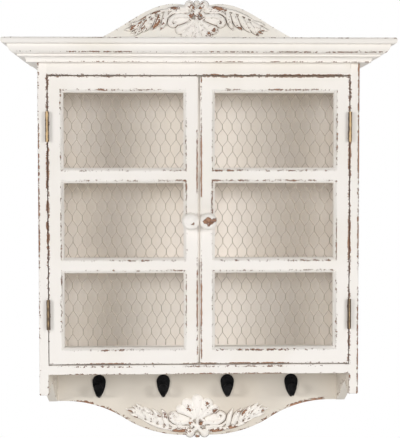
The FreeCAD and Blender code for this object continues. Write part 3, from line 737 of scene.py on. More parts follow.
WORN_LINES = {hand + "_side": [upright_line(sign * SIDE_LINE, SIDE_LOW.z, CORNICE_LOW.z, 1.08, 2.6)]
              for hand, sign in HANDS.items()}
WORN_LINES.update({
    "right_meeting_stile": meeting_lines(CHAMFER, 1.7, ((40, 229), (-224, -47))),
    "left_meeting_stile": meeting_lines(-CHAMFER, 1.35, ((45, 147), (-218, -59))),
    "bottom_board": [level_line(DOOR_HIGH.x, FRONT, FLOOR_HIGH.z - 2.6 * MM, 1.0, 1.7)],
    "cornice_front": [
        level_line(CORNICE_HIGH.x, CORNICE_LOW.y + 5.6 * MM, CORNICE_LOW.z + 14.0 * MM, 0.8, 1.8),
        level_line(CORNICE_HIGH.x, FRONT - 15.5 * MM, CORNICE_LOW.z + 0.6 * MM, 0.62, 1.4),
    ],
    "top_board": [level_line(NOSE_HIGH.x, NOSE_LOW.y + NOSE_ROUND, NOSE_HIGH.z - NOSE_ROUND, 0.5, 1.4)],
})
for board_name, (radius_mm, rule) in BOARDS.items():
    soft_board(board_name, radius_mm * MM, rule, WORN_LINES.get(board_name, []))
print("boards:", len(BOARDS))

# %% [markdown]
# The carved ornament
#
# A carver thinks in strokes: a flute of the shell, a finger of the leaf, a turn of the scroll. Each
# stroke here is the depth of the groove along its middle and a few knots, and a knot is a place across
# and up, a half width and a height in millimetres. The relief at any place is the highest stroke there.
# The strokes are worked out on a fine grid, which gives clean creases where two strokes meet, and only
# the right half is written down because the left one mirrors it. Below the board's face the relief runs
# on for just over half a millimetre, so the outline that shows is a smooth one.

# %% Carving
GRID = 0.6
HALF_SPAN = 132
LOWEST, HIGHEST = -3, 81
GROUND = -3.0
CURVE_STEPS = 7
THINNEST = 0.3
GROOVE_WIDTH = 0.22
SHELL = [
    (0.15, [(0, 34, 2.0, 5.0), (0, 53, 7.4, 7.4), (0, 66, 10.4, 6.2)]),
    (0.15, [(2.6, 34, 2.0, 5.0), (10.5, 50, 6.6, 7.0), (17.8, 60, 9.4, 5.8)]),
    (0.15, [(4.6, 33.5, 2.0, 4.6), (18, 43.5, 5.2, 6.4), (30, 50.5, 7.6, 5.2)]),
]
SCROLLS = [
    (0.3, [(10, 25, 3.4, 6.0), (19, 27, 4.4, 6.0), (29, 26, 4.8, 6.4), (38, 28, 4.8, 6.8),
           (45, 33.5, 4.6, 7.4), (46, 40, 4.2, 7.4), (41, 43.5, 3.6, 7.0), (36.5, 41, 2.8, 6.6),
           (37.5, 37.5, 2.0, 7.2)]),
    (0.0, [(16, 32, 3.0, 2.4), (26, 33.5, 6.0, 3.0), (37, 36, 7.0, 3.4)]),
    (0.0, [(16, 18.5, 2.6, 4.0), (30, 19.5, 2.8, 4.2), (42, 20.5, 2.8, 4.4), (50, 27, 2.0, 4.6)]),
    (0.0, [(17, 13, 4.2, 4.8), (33, 13.2, 4.2, 5.0), (48, 15, 3.4, 4.4)]),
]
LEAF = [
    (0.0, [(48, 16, 2.6, 4.0), (58, 17, 2.8, 4.2), (70, 20.5, 2.8, 4.4), (84, 26.5, 2.4, 4.0),
           (101, 35, 0.9, 2.0)]),
    (0.4, [(53, 20, 3.6, 4.0), (55, 30, 4.8, 7.2), (58, 41, 4.0, 6.4), (63, 51, 0.7, 3.2)]),
    (0.4, [(64, 23, 3.8, 4.0), (67, 33, 5.0, 7.4), (72, 43, 4.0, 6.6), (79, 51, 0.7, 3.2)]),
    (0.4, [(75, 27, 3.8, 4.0), (80, 37, 5.0, 7.2), (86, 47, 4.0, 6.4), (94, 55, 0.7, 3.0)]),
    (0.4, [(85, 32, 3.8, 4.0), (91, 42, 5.0, 7.6), (99, 52, 4.2, 6.8), (108, 61, 0.7, 3.2)]),
    (0.4, [(94, 37, 3.8, 4.0), (103, 43.5, 5.0, 7.2), (113, 48.5, 4.2, 6.2), (126, 51, 0.7, 3.0)]),
    (0.3, [(99, 36.5, 2.8, 3.4), (109, 39.5, 3.2, 5.0), (119, 43, 0.7, 2.6)]),
    (0.0, [(60, 24, 1.8, 3.0), (64, 36, 2.2, 5.4), (69, 46, 0.6, 2.6)]),
    (0.0, [(72, 29, 1.8, 3.0), (78, 41, 2.2, 5.6), (86, 51, 0.6, 2.6)]),
    (0.0, [(93, 42, 2.0, 3.0), (104, 51, 2.6, 5.6), (115, 57, 0.6, 2.6)]),
]
KNOT = [
    (0.2, [(-11, 28, 2.8, 5.6), (-2, 20, 3.4, 7.4), (8, 11, 3.6, 6.0)]),
    (0.0, [(7, 34, 2.4, 5.0), (12.5, 27, 2.8, 6.0), (9, 19, 2.4, 5.0)]),
    (0.0, [(12.6, 8.2, 7.4, 7.4), (12.8, 7.6, 7.4, 7.4)]),
]
MIDDLE = [
    (0.0, [(0, 4.6, 4.4, 5.8), (0, 4.2, 4.4, 5.8)]),
    (0.0, [(0, 36, 3.2, 7.8), (0, 22, 3.0, 6.4)]),
]


def smooth_path(rows):
    """Rows along a smooth curve through all the given rows, whatever numbers a row holds."""
    knots = np.array(rows, float)
    padded = np.vstack([2 * knots[0] - knots[1], knots, 2 * knots[-1] - knots[-2]])
    found = []
    for a, b, c, d in zip(padded, padded[1:], padded[2:], padded[3:]):
        for t in np.arange(CURVE_STEPS) / CURVE_STEPS:
            found.append(0.5 * (2 * b + (c - a) * t + (2 * a - 5 * b + 4 * c - d) * t ** 2
                                + (3 * b - a - 3 * c + d) * t ** 3))
    return np.array(found + [knots[-1]])


def to_segment(x, y, x0, y0, x1, y1):
    """How far along a segment each place lies, from 0 to 1, and how far away from it."""
    dx, dy = x1 - x0, y1 - y0
    share = np.clip(((x - x0) * dx + (y - y0) * dy) / max(dx * dx + dy * dy, 1e-9), 0, 1)
    return share, np.hypot(x - x0 - share * dx, y - y0 - share * dy)


def carve(u, v, height, stroke):
    """Raises a relief to the level of one stroke."""
    groove, knots = stroke
    line = smooth_path(knots)
    for (u0, v0, w0, h0), (u1, v1, w1, h1) in zip(line, line[1:]):
        share, away = to_segment(u, v, u0, v0, u1, v1)
        ratio = away / np.maximum(w0 + (w1 - w0) * share, THINNEST)
        dome = np.sqrt(np.clip(1 - ratio ** 2, 0, 1)) - np.clip(ratio - 1, 0, None) * 2
        dome = dome * (1 - groove * np.exp(-(ratio / GROOVE_WIDTH) ** 2))
        np.maximum(height, dome * (h0 + (h1 - h0) * share), out=height)


def blurred(field, times):
    for _ in range(times):
        field = (field + np.roll(field, 1, 0) + np.roll(field, -1, 0)
                 + np.roll(field, 1, 1) + np.roll(field, -1, 1)) / 5
    return field


def relief_of_ornament():
    """The relief on its grid: places across and up, and heights, in millimetres."""
    across = np.arange(-HALF_SPAN, HALF_SPAN + GRID, GRID)
    u, v = np.meshgrid(across, np.arange(LOWEST, HIGHEST, GRID), indexing="ij")
    height = np.full(u.shape, GROUND)
    for stroke in SHELL + SCROLLS + LEAF + KNOT:
        carve(u, v, height, stroke)
        carve(-u, v, height, stroke)
    for stroke in MIDDLE:
        carve(u, v, height, stroke)
    return u, v, blurred(height, 2)


RELIEF = relief_of_ornament()
print("relief grid:", RELIEF[0].shape, "highest:", round(float(RELIEF[2].max()), 2), "mm")

# %% [markdown]
# The grid becomes a closed mesh: the relief in front, its back just over half a millimetre inside the
# board, and a wall round the outline. Two lists of soft spots say where a carving is worn, and they
# differ on the crest and on the apron. In a patch all the paint has gone. In a ridge spot only the high
# lines of the strokes are bare, as when a cloth runs over them. The hollows between strokes are darkened
# with dirt and painted shade, more on the crest.

# %% Ornaments
SUNK = 0.6
BACK = 0.7
TALL = 8
RIDGE_RISE = 0.7
RIDGE_BLUR = 24
HOLLOW_BLUR = 6
CREASED = math.radians(70)
APRON_MARKS = {
    "patches": [
        (-31, 12, 17, 7), (34, 12, 13, 5), (63, 16, 9, 6), (91, 25, 7, 4), (-14, 52, 6, 8), (18, 58, 5, 8),
        (29, 48, 6, 7), (7, 26, 5, 5), (-12, 26, 3, 3), (-119, 48, 6, 3), (-110, 36, 5, 3), (115, 47, 4, 3),
        (82, 31, 3, 3), (0, 2, 4, 3), (-58, 22, 3, 3),
    ],
    "ridges": [(-70, 40, 26, 10), (84, 44, 20, 10)],
    "ridge_wear": 0.9,
    "grime": 0.8,
}
CREST_MARKS = {
    "patches": [
        (9, 27, 6.5, 6), (-6, 27, 6.5, 7), (39, 14, 9, 4), (-36, 14, 13, 6), (-21, 57, 7, 5),
        (-29, 51, 5, 5), (-52, 42, 4, 3),
    ],
    "ridges": [
        (96, 40, 12, 16), (70, 36, 11, 20), (110, 46, 6, 5), (-71, 49, 8, 5), (-110, 55, 8, 6),
        (8, 12, 6, 9), (-8, 12, 6, 9),
    ],
    "ridge_wear": 1.6,
    "grime": 1.3,
}


def soft_spots(u, v, places):
    """The highest of some soft spots, each given by its place and its two half widths."""
    return np.max([np.exp(-((u - su) / a) ** 2 - ((v - sv) / b) ** 2) for su, sv, a, b in places], axis=0)


def any_of_four(field):
    """Whether any of each four neighbours on a grid is true."""
    return field[:-1, :-1] | field[1:, :-1] | field[:-1, 1:] | field[1:, 1:]


def carved_mesh(name, origin, turn):
    """The cells that hold relief, as a closed mesh: the vertices of its front first, then its back's."""
    u, v, height = (field[KEPT] for field in RELIEF)
    number = np.cumsum(KEPT.ravel()).reshape(KEPT.shape) - 1
    count = len(u)
    top = np.column_stack([turn * u, -np.maximum(height, -SUNK), turn * v])
    base = np.column_stack([turn * u, np.full(count, BACK), turn * v])
    bm = bmesh.new()
    points = [bm.verts.new(origin + Vector(p) * MM) for p in np.vstack([top, base])]
    for i, j in np.argwhere(CELLS):
        corners = [number[i, j], number[i + 1, j], number[i + 1, j + 1], number[i, j + 1]]
        bm.faces.new([points[c] for c in corners])
        bm.faces.new([points[c + count] for c in reversed(corners)])
    between = origin.y + (SUNK + BACK) / 2 * MM
    rim = [e for e in bm.edges if len(e.link_faces) == 1 and e.verts[0].co.y < between]
    bm.verts.index_update()
    for edge in rim:
        a, b = (v.index for v in edge.verts)
        bm.faces.new([points[a], points[b], points[b + count], points[a + count]])
    bmesh.ops.recalc_face_normals(bm, faces=bm.faces)
    return mesh_from(bm, name)


def ornament(node_name, origin, turn, marks):
    """One carving on a board. origin is the place of its tip, and turn is -1 to set it upside down."""
    mesh = carved_mesh(node_name + "_carving", origin, turn)
    u, v, height = (field[KEPT] for field in RELIEF)
    raised = np.maximum(RELIEF[2], 0)
    # Hollows between strokes, darkened with dirt and painted shade
    hollow_dirt_and_shade = np.clip((blurred(raised, HOLLOW_BLUR)[KEPT] - height) * marks["grime"], 0, 1)
    ridge = np.clip((height - blurred(raised, RIDGE_BLUR)[KEPT]) / RIDGE_RISE, 0, 1)
    patches = soft_spots(u, v, marks["patches"]) * (ridge * 0.8 + 0.95)
    lines = soft_spots(u, v, marks["ridges"]) * ridge * marks["ridge_wear"]
    worn = np.max([patches, lines, np.clip(height / TALL, 0, 1) * 0.3], axis=0)
    for title, values in (("wear", worn), ("crease", hollow_dirt_and_shade)):
        set_numbers(mesh, title, np.concatenate([values, np.zeros(len(values))]))
    shade_smooth(mesh)
    mesh.set_sharp_from_angle(angle=CREASED)
    return stand_for(new_piece(node_name + "_carving", mesh), node_name, CARVED_PAINT)


CELLS = any_of_four(RELIEF[2] > -SUNK)
KEPT = any_of_four(np.pad(CELLS, 1))
for node_name, tip, turn, marks in (
        ("apron_ornament", 0, 1, APRON_MARKS), ("crest_ornament", 1, -1, CREST_MARKS)):
    box = BOXES[node_name]
    carving = ornament(node_name, Vector((0, box[1].y, box[tip].z)), turn, marks)
    print(carving.name, "faces:", len(carving.data.polygons))

# %% [markdown]
# Wire netting
#
# Hexagonal netting is a row of upright wires. Each one twists with its neighbour on one side, crosses
# over and twists with the neighbour on the other side, again and again. A Geometry Nodes tree follows
# that rule: one wire is a line whose points are moved by their row, every second wire is the same with
# its sides exchanged, and both are set side by side. A slow noise then pushes the whole net about by a
# millimetre, as netting never lies true.

# %% Netting
STEPS = 18
NET_PITCH = 16.0 * MM
NET_ROW = 18.6 * MM
NET_TWIST = 8.6 * MM
NET_TURNS = 2
NET_MARGIN = 4 * MM
NET_SEEDS = {"left": 3.0, "right": 11.0}
WIRE_RADIUS = 0.45 * MM
WAVER = 8.0 * MM
WAVER_SCALE = 15.0
WAVER_SHARES = (1.0, 0.12, 1.0)
NET_INPUTS = {
    "Wires": "Int", "Points": "Int", "Corner": "Vector", "Pitch": "Float", "Row": "Float", "Twist": "Float",
    "Radius": "Float", "Waver": "Float", "Seed": "Float", "Finish": "Material",
}


class Pattern(Tree):
    """A geometry tree with named inputs."""

    def __init__(self, name, inputs):
        group = bpy.data.node_groups.new(name, "GeometryNodeTree")
        super().__init__(group)
        group.interface.new_socket("Geometry", in_out="OUTPUT", socket_type="NodeSocketGeometry")
        for title, kind in inputs.items():
            group.interface.new_socket(title, in_out="INPUT", socket_type="NodeSocket" + kind)
        entry = group.nodes.new("NodeGroupInput")
        self.given = {title: Sock(self, entry.outputs[title]) for title in inputs}

    def finish(self, geometry, material):
        real = self.node("GeometryNodeRealizeInstances", {"Geometry": geometry})
        done = self.node("GeometryNodeSetMaterial", {"Geometry": real, "Material": material})
        self.node("NodeGroupOutput", {"Geometry": done})

    def run(self, piece, values):
        """Grows the pattern on a piece and leaves a plain mesh."""
        modifier = piece.modifiers.new("pattern", "NODES")
        modifier.node_group = self.tree
        for item in self.tree.interface.items_tree:
            if item.in_out == "INPUT" and item.name in values:
                modifier[item.identifier] = values[item.name]
        return settle(piece)


def netting():
    tree = Pattern("hexagonal_netting", NET_INPUTS)
    given = tree.given
    index = tree.node("GeometryNodeInputIndex")
    turn = index / STEPS
    row = turn.math("FLOOR")
    part = turn - row
    share = given["Twist"] / given["Row"]
    twist = (part / share).math("MINIMUM", 1.0)
    cross = ((part - share) / (1 - share)).math("MAXIMUM", 0.0)
    angle = twist * (NET_TURNS * 2 * math.pi)
    swing = (1 - cross * 2) * (given["Pitch"] / 4 - given["Radius"] * angle.math("COSINE"))
    lift = given["Radius"] * angle.math("SINE")
    parity = 1 - row.math("MODULO", 2.0) * 2
    line = tree.node("GeometryNodeCurvePrimitiveLine")
    line = tree.node("GeometryNodeResampleCurve", {"Curve": line, "Count": given["Points"]})
    step = tree.vector(X=given["Pitch"] / 2)
    stations = tree.node("GeometryNodeMeshLine", {
        "Count": given["Wires"], "Start Location": given["Corner"], "Offset": step})
    joined = tree.tree.nodes.new("GeometryNodeJoinGeometry")
    for hand in (1, -1):
        side = parity * hand
        place = tree.vector(X=side * swing, Y=side * lift, Z=turn * given["Row"])
        wire = tree.node("GeometryNodeSetPosition", {"Geometry": line, "Position": place})
        odd = index.math("MODULO", 2.0)
        chosen = odd.math("LESS_THAN", 0.5) if hand > 0 else odd
        copies = tree.node("GeometryNodeInstanceOnPoints", {
            "Points": stations, "Selection": chosen, "Instance": wire})
        tree.tree.links.new(copies.socket, joined.inputs[0])
    wires = tree.node("GeometryNodeRealizeInstances", {"Geometry": Sock(tree, joined.outputs[0])})
    noise = {"W": given["Seed"], "Scale": WAVER_SCALE, "Detail": 1.0}
    drift = tree.node("ShaderNodeTexNoise", noise, out="Color", noise_dimensions="4D")
    drift = tree.node("ShaderNodeVectorMath", {0: drift, 1: (0.5, 0.5, 0.5)}, operation="SUBTRACT")
    drift = tree.node("ShaderNodeVectorMath", {0: drift, 1: WAVER_SHARES}, operation="MULTIPLY")
    drift = tree.node("ShaderNodeVectorMath", {0: drift, "Scale": given["Waver"]}, operation="SCALE")
    wires = tree.node("GeometryNodeSetPosition", {"Geometry": wires, "Offset": drift})
    section = tree.node("GeometryNodeCurvePrimitiveCircle", {
        "Resolution": 5, "Radius": given["Radius"]})
    mesh = tree.node("GeometryNodeCurveToMesh", {"Curve": wires, "Profile Curve": section})
    mesh = tree.node("GeometryNodeSetShadeSmooth", {"Geometry": mesh})
    tree.finish(mesh, given["Finish"])
    return tree


NETTING = netting()
print("nodes in the netting's tree:", len(NETTING.tree.nodes))

# %% [markdown]
# Each net has as many whole wires and rows as its sheet in the frame has room for, set in the middle of
# the sheet. The two nets waver in different ways.

# %% Nets
for hand, seed in NET_SEEDS.items():
    low, high = BOXES[hand + "_wire_net"]
    wires = int((high.x - low.x - NET_MARGIN) / (NET_PITCH / 2))
    rows = int((high.z - low.z) / NET_ROW)
    start = Vector((
        (low.x + high.x - (wires - 1) * NET_PITCH / 2) / 2,
        (low.y + high.y) / 2,
        (low.z + high.z - rows * NET_ROW) / 2,
    ))
    net = new_piece(hand + "_netting", bpy.data.meshes.new(hand + "_netting"))
    NETTING.run(net, {
        "Wires": wires, "Points": rows * STEPS + 1, "Corner": start, "Pitch": NET_PITCH, "Row": NET_ROW,
        "Twist": NET_TWIST, "Radius": WIRE_RADIUS, "Waver": WAVER, "Seed": seed, "Finish": WIRE,
    })
    stand_for(net, hand + "_wire_net", WIRE)
    print(net.name, "wires:", wires, "rows:", rows, "faces:", len(net.data.polygons))

# %% [markdown]
# Knobs
#
# A knob is turned on a lathe, so it is a profile spun about its axis. The profile is a few points, joined
# by the same smooth curve as the carving's strokes. A shallow ring is cut in the face. The right knob's
# paint is worn through in a large patch, the left one's only in a small one. Each patch is given by its
# outline, and the wear number rises with the depth inside it.

# %% Knobs
KNOB_PROFILE = [(0.0, 24.0), (5.0, 23.7), (7.6, 22.9), (8.2, 22.3), (9.0, 22.3), (11.4, 20.8), (13.5, 17.2),
                (14.0, 14.6), (12.9, 11.4), (9.4, 8.6), (6.6, 7.0), (5.8, 4.6), (6.0, 1.2), (6.4, 0.0)]
KNOB_WORN = {
    "left": [(0.2, -2.6), (3.6, -1.0), (6.2, -3.4), (5.2, -6.4), (3.0, -4.6), (1.6, -6.0)],
    "right": [(-9.6, -0.3), (-1.6, 6.9), (5.8, 3.4), (13.4, 6.1), (12.8, -0.3), (5.8, -4.6), (-0.6, -9.4)],
}
SPOKES = 56
SEAM = 0.005 * MM
KNOB_FACE = 12
PATCH_EDGE = 1.4
PATCH_RISE = 0.7
PATCH_MOST = 2.4


def inside_outline(x, z, corners):
    """How far each place lies inside a closed outline: negative outside it."""
    away = np.full(x.shape, np.inf)
    within = np.zeros(x.shape, bool)
    for (x0, z0), (x1, z1) in zip(corners, corners[1:] + corners[:1]):
        away = np.minimum(away, to_segment(x, z, x0, z0, x1, z1)[1])
        if z0 != z1:
            within ^= ((z0 > z) != (z1 > z)) & (x < x0 + (z - z0) / (z1 - z0) * (x1 - x0))
    return np.where(within, away, -away)


def knob(hand):
    node_name = hand + "_knob"
    low, high = BOXES[node_name]
    centre = Vector(((low.x + high.x) / 2, high.y, (low.z + high.z) / 2))
    line = smooth_path(KNOB_PROFILE)
    bm = bmesh.new()
    rim = [bm.verts.new(centre + Vector((r, -out, 0)) * MM) for r, out in line]
    for a, b in zip(rim, rim[1:]):
        bm.edges.new((a, b))
    bmesh.ops.spin(bm, geom=bm.verts[:] + bm.edges[:], cent=centre, axis=(0, 1, 0), angle=2 * math.pi,
                   steps=SPOKES, use_merge=True)
    bmesh.ops.remove_doubles(bm, verts=bm.verts, dist=SEAM)
    bmesh.ops.recalc_face_normals(bm, faces=bm.faces)
    mesh = mesh_from(bm, hand + "_turned_knob")
    offset = (positions(mesh) - np.array(centre)) / MM
    depth = inside_outline(offset[:, 0], offset[:, 2], KNOB_WORN[hand])
    worn = np.clip(PATCH_EDGE + depth * PATCH_RISE, 0, PATCH_MOST)
    set_numbers(mesh, "wear", worn * (offset[:, 1] < -KNOB_FACE))
    shade_smooth(mesh)
    return stand_for(new_piece(hand + "_turned_knob", mesh), node_name, PAINTED["Y"])


for hand in HANDS:
    print(knob(hand).name, "is turned")

# %% [markdown]
# Hooks
#
# The hooks are rough castings: no edge of theirs is sharp. Rather than model every fillet, the plain hook
# is filled with small voxels and its surface is relaxed, which rounds every edge and fillets every inner
# corner, as sand casting does.

# %% Hooks
HOOKS = 4
VOXEL = 0.55 * MM
RELAX_SHARE = 0.5
RELAX_STEPS = 7
for number in range(HOOKS):
    node_name = f"hook_{number + 1}"
    cast = new_piece(node_name + "_casting", NODES[node_name].data.copy())
    cast.modifiers.new("weld", "WELD").merge_threshold = SEAM
    remesh = cast.modifiers.new("voxels", "REMESH")
    remesh.mode = "VOXEL"
    remesh.voxel_size = VOXEL
    relax = cast.modifiers.new("relax", "SMOOTH")
    relax.factor = RELAX_SHARE
    relax.iterations = RELAX_STEPS
    settle(cast)
    shade_smooth(cast.data)
    stand_for(cast, node_name, GLINTING_IRON)
    print(cast.name, "faces:", len(cast.data.polygons))

# %% [markdown]
# Screws and pins
#
# Three countersunk screws hold each hinge leaf and two hold the catch. Small pins hold the strips behind
# the netting, the back panel and the front of the cornice. All are one head at other sizes, so one
# Geometry Nodes tree makes them: a flat box of small cells is pulled from a square into a disc, its top
# is domed and a slot is pressed along its middle row. The head is then set on loose points. Each point
# carries the direction that its head faces, and a fixed seed turns the slots. A number marks the slot,
# which is painted dark as the shade in its recess.

# %% Screws and pins
HEAD_INPUTS = {
    "Places": "Geometry", "Radius": "Float", "Dome": "Float", "Sink": "Float", "Slot": "Float",
    "Seed": "Int", "Finish": "Material",
}
RIM = 0.02 * MM


def fastener_heads():
    tree = Pattern("fastener_heads", HEAD_INPUTS)
    given = tree.given
    box = tree.node("GeometryNodeMeshCube", {
        "Size": (2, 2, 2), "Vertices X": 9, "Vertices Y": 7, "Vertices Z": 2})
    place = tree.node("GeometryNodeInputPosition")
    x, y, z = tree.axes(place, "XYZ")
    across = x * (1 - y * y / 2).math("SQRT")
    along = y * (1 - x * x / 2).math("SQRT")
    middle = 1 - across * across - along * along
    slot = 1 - (x.math("ABSOLUTE") * 4).math("MINIMUM", 1.0)
    top = z.math("GREATER_THAN", 0.0)
    level = top * (middle * given["Dome"] - slot * given["Slot"] + RIM) - (1 - top) * given["Sink"]
    spot = tree.vector(X=across * given["Radius"], Y=along * given["Radius"], Z=level)
    # Marks the slot, to be painted dark as the shade in its recess
    dark = {"Geometry": box, "Name": "crease", "Value": slot * given["Slot"].math("GREATER_THAN", 0.0)}
    head = tree.node("GeometryNodeStoreNamedAttribute", dark, data_type="FLOAT", domain="POINT")
    head = tree.node("GeometryNodeSetPosition", {"Geometry": head, "Position": spot})
    facing = tree.node("GeometryNodeInputNamedAttribute", {"Name": "facing"}, data_type="FLOAT_VECTOR")
    upright = tree.node("FunctionNodeAlignRotationToVector", {"Vector": facing}, axis="Z")
    turns = {2: 0.0, 3: 2 * math.pi, 8: given["Seed"]}
    angle = tree.node("FunctionNodeRandomValue", turns, out=1, data_type="FLOAT")
    spin = tree.node("FunctionNodeAxisAngleToRotation", {"Axis": (0, 0, 1), "Angle": angle})
    turned = {"Rotation": upright, "Rotate By": spin}
    turned = tree.node("FunctionNodeRotateRotation", turned, rotation_space="LOCAL")
    heads = tree.node("GeometryNodeInstanceOnPoints", {
        "Points": given["Places"], "Instance": head, "Rotation": turned})
    tree.finish(heads, given["Finish"])
    return tree


def screw_metal(name, metal_colour, slot_shade_colour):
    finish = Finish(name)
    skin = finish.noise(1300.0, 3.0, 0.6)
    # The slot is painted dark, as the shade in its recess
    dark = (finish.attribute("crease") + (skin - 0.5) * 0.3).smooth(0.35, 0.6)
    return finish.surface(skin, 0.02 * MM, {
        "Base Color": finish.mix(dark, finish.mix(skin, metal_colour, slot_shade_colour), slot_shade_colour),
        "Metallic": 0.7,
        "Roughness": skin * 0.25 + 0.35,
    })


HEADS = fastener_heads()
SCREW_BRASS = screw_metal("screw_brass", srgb(196, 168, 118), srgb(40, 31, 24))
PIN_STEEL = screw_metal("pin_steel", srgb(168, 160, 148), srgb(58, 50, 44))
print("inputs of the heads' tree:", list(HEAD_INPUTS))

# %% [markdown]
# Where the heads sit comes from the parts that they hold: the flat of each hinge leaf, the underside of
# the catch, the middle line of the strips. The heads of the hinge screws stand less than a tenth of a
# millimetre proud, since the two leaves close on each other.

# %% Setting the screws and pins
HEAD_SEED = 5
LEAF_SCREW = (2.6, 0.05, 0.6, 0.03)
LEAF_FLAT = 143.0 * MM
LEAF_FRONT = 20 * MM
CATCH_SCREW = (2.2, 0.5, 0.5, 0.3)
CATCH_SCREW_X = 20 * MM
STRIP_PIN = (1.1, 0.3, 0.6, 0.0)
STRIP_INSET = 3 * MM
BACK_PIN = (1.1, 0.1, 0.6, 0.0)
BACK_INSET = 4 * MM
BACK_SPACING = 75 * MM
BACK_SUNK = 0.1 * MM
CORNICE_PIN = (0.8, 0.15, 0.6, 0.0)
CORNICE_PINS = ((-282, 60.4), (-265.6, 60.7), (-194.8, 60.2), (-168, 60.3), (252.4, 62.0), (271.2, 61.2))


def set_heads(name, body, places, sizes, material):
    """One mesh of heads on a body. places are pairs of a point and the way that its head faces, and sizes
    are the radius, the dome, the sunk depth and the slot's depth in millimetres.
    """
    mesh = bpy.data.meshes.new(name)
    mesh.from_pydata([point for point, _ in places], [], [])
    layer = mesh.attributes.new("facing", "FLOAT_VECTOR", "POINT")
    layer.data.foreach_set("vector", np.array([way for _, way in places], np.float32).ravel())
    radius, dome, sink, slot_depth = (size * MM for size in sizes)
    heads = HEADS.run(new_piece(name, mesh), {
        "Radius": radius, "Dome": dome, "Sink": sink, "Slot": slot_depth, "Seed": HEAD_SEED,
        "Finish": material,
    })
    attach(heads, body)
    print(heads.name, "heads:", len(places), "faces:", len(heads.data.polygons))


def leaf_places(hand, leaf):
    """Three screws on the flat of each of a hand's two leaves of one kind."""
    sign = HANDS[hand]
    way = sign if leaf == "door_leaf" else -sign
    found = []
    for level in ("upper", "lower"):
        node_name = f"{hand}_{level}_{leaf}"
        low, high = BOXES[node_name]
        for share in (1 / 6, 1 / 2, 5 / 6):
            z = low.z + (high.z - low.z) * share
            start = Vector((sign * PIN_X + way * LEAF_FRONT, -LEAF_FLAT, z))
            found.append((SURFACES[node_name].ray_cast(start, Vector((-way, 0, 0)))[0], (way, 0, 0)))
    return found


def edge_lines(name, inset):
    """The two upright and the two level lines that lie inside a part's edges, and the place of its back."""
    low, high = BOXES[name]
    return (low.x + inset, high.x - inset), (low.z + inset, high.z - inset), high.y


def strip_places(hand):
    """Pins along the middle of the four strips behind one door's netting."""
    (x0, x1), (z0, z1), y = edge_lines(hand + "_net_strips", STRIP_INSET)
    uprights = [(x, z) for x in (x0, x1) for z in np.linspace(z0 + 20 * MM, z1 - 20 * MM, 7)]
    levels = [(x, z) for z in (z0, z1) for x in np.linspace(x0 + 16 * MM, x1 - 16 * MM, 4)]
    return [(Vector((x, y, z)), (0, 1, 0)) for x, z in uprights + levels]


def cornice_places():
    found = []
    for x, z in CORNICE_PINS:
        start = Vector((x * MM, -1, z * MM))
        point, normal, _, _ = SURFACES["cornice_front"].ray_cast(start, Vector((0, 1, 0)))
        found.append((point, normal))
    return found


def back_places():
    """Pins round the edge of the back panel, where it lies on the boards."""
    (x0, x1), (z0, z1), y = edge_lines("back_panel", BACK_INSET)
    columns = np.linspace(x0, x1, round((x1 - x0) / BACK_SPACING) + 1)
    rows = np.linspace(z0, z1, round((z1 - z0) / BACK_SPACING) + 1)
    spots = [(x, z) for x in (x0, x1) for z in rows] + [(x, z) for z in (z0, z1) for x in columns[1:-1]]
    return [(Vector((x, y - BACK_SUNK, z)), (0, 1, 0)) for x, z in spots]


CATCH_LOW, CATCH_HIGH = BOXES["magnetic_catch"]
catch_y = (CATCH_LOW.y + CATCH_HIGH.y) / 2
catch_spots = [(Vector((side * CATCH_SCREW_X, catch_y, CATCH_LOW.z)), (0, 0, -1)) for side in (-1, 1)]
side_leaves = [place for hand in HANDS for place in leaf_places(hand, "side_leaf")]
set_heads("side_leaf_screws", BODY["right_side"], side_leaves, LEAF_SCREW, SCREW_BRASS)
set_heads("catch_screws", BODY["magnetic_catch"], catch_spots, CATCH_SCREW, PIN_STEEL)
set_heads("back_pins", BODY["back_panel"], back_places(), BACK_PIN, PIN_STEEL)
set_heads("cornice_pins", BODY["cornice_front"], cornice_places(), CORNICE_PIN, PIN_STEEL)
for hand in HANDS:
    body = BODY[hand + "_hinge_stile"]
    door_leaves = leaf_places(hand, "door_leaf")
    set_heads(hand + "_door_leaf_screws", body, door_leaves, LEAF_SCREW, SCREW_BRASS)
    set_heads(hand + "_strip_pins", body, strip_places(hand), STRIP_PIN, PIN_STEEL)

# %% [markdown]
# Light and background
#
# The picture is a cut-out on white, lit softly from the front. The world is white to the camera and to
# reflections, and a plain grey level to everything else. Two softboxes stand to the left and the right:
# their light crosses behind the doors, which makes the middle of the back panel brighter than its ends. A
# small lamp in front fills the shadows, and two lamps above and behind light the top and the back, which
# other views show. The floor below the cabinet is pale, keeps the shadow, and fades into the white at its
# rim.

# %% Light
WORLD_LEVEL = 0.09
FLOOR_DROP = 0.24
FLOOR_RADIUS = 1.1
FLOOR_GLOW = 0.55
FLOOR_PLACE = -0.1
FLOOR_FADE = (0.75, 0.98)
FLOOR_SIDES = 96
LAMP_AIM = Vector((0.0, -0.1, -0.2))
LAMPS = {
    "left_softbox": ((-2.25, -1.83, 0.12), 0.65, 30.6),
    "right_softbox": ((2.0, -1.9, 0.12), 0.65, 27.7),
    "front_fill": ((-0.05, -2.3, 0.06), 0.6, 11.2),
    "left_back_lamp": ((-1.4, 1.6, 2.0), 1.0, 34.0),
    "right_back_lamp": ((1.4, 1.6, 2.0), 1.0, 34.0),
}


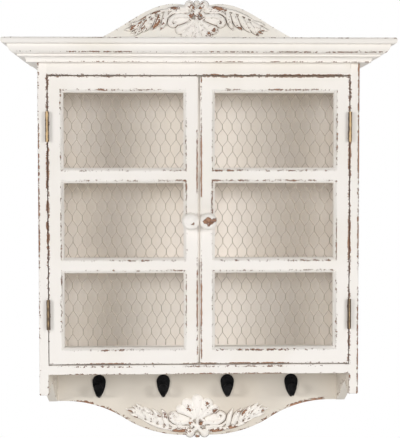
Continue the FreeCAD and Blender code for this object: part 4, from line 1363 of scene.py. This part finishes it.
def make_world():
    world = bpy.data.worlds.new("studio")
    world.use_nodes = True
    tree = Tree(world.node_tree)
    tree.tree.nodes.clear()
    rays = tree.tree.nodes.new("ShaderNodeLightPath")
    seen = sum(Sock(tree, rays.outputs[f"Is {kind} Ray"]) for kind in ("Camera", "Glossy", "Transmission"))
    seen = tree.node("ShaderNodeClamp", {"Value": seen})
    level = seen * (1 - WORLD_LEVEL) + WORLD_LEVEL
    sky = tree.node("ShaderNodeBackground", {"Color": (1, 1, 1, 1), "Strength": level})
    tree.node("ShaderNodeOutputWorld", {"Surface": sky})
    bpy.context.scene.world = world


def make_lamp(name, place, size, power):
    data = bpy.data.lights.new(name, "AREA")
    data.shape = "DISK"
    data.size = size
    data.energy = power
    lamp = bpy.data.objects.new(name, data)
    lamp.location = place
    lamp.rotation_mode = "QUATERNION"
    lamp.rotation_quaternion = (LAMP_AIM - Vector(place)).to_track_quat("-Z", "Y")
    bpy.context.scene.collection.objects.link(lamp)


def make_floor():
    bm = bmesh.new()
    bmesh.ops.create_circle(bm, cap_ends=True, segments=FLOOR_SIDES, radius=FLOOR_RADIUS)
    mesh = mesh_from(bm, "floor")
    floor = new_piece("floor", mesh)
    mesh.transform(Matrix.Translation((0, FLOOR_PLACE, CAD_BOX[0][2] - FLOOR_DROP)))
    pale = Finish("pale_floor")
    radius = pale.node("ShaderNodeVectorMath", {0: pale.place}, out="Value", operation="LENGTH")
    rim = (radius / FLOOR_RADIUS).smooth(*FLOOR_FADE)
    matt = pale.node("ShaderNodeBsdfDiffuse", {"Color": (0.75, 0.75, 0.75, 1)})
    white = pale.node("ShaderNodeEmission", {"Color": (1, 1, 1, 1), "Strength": 1.0})
    seen = pale.node("ShaderNodeLightPath", out="Is Camera Ray")
    lit = pale.node("ShaderNodeMixShader", {0: seen * FLOOR_GLOW, 1: matt, 2: white})
    pale.node("ShaderNodeOutputMaterial", {
        "Surface": pale.node("ShaderNodeMixShader", {0: rim, 1: lit, 2: white})})
    mesh.materials.append(pale.material)


make_world()
for lamp_name, setting in LAMPS.items():
    make_lamp(lamp_name, *setting)
make_floor()
bpy.context.scene.view_settings.view_transform = "Standard"
print("lamps:", len(LAMPS), "world level:", WORLD_LEVEL)
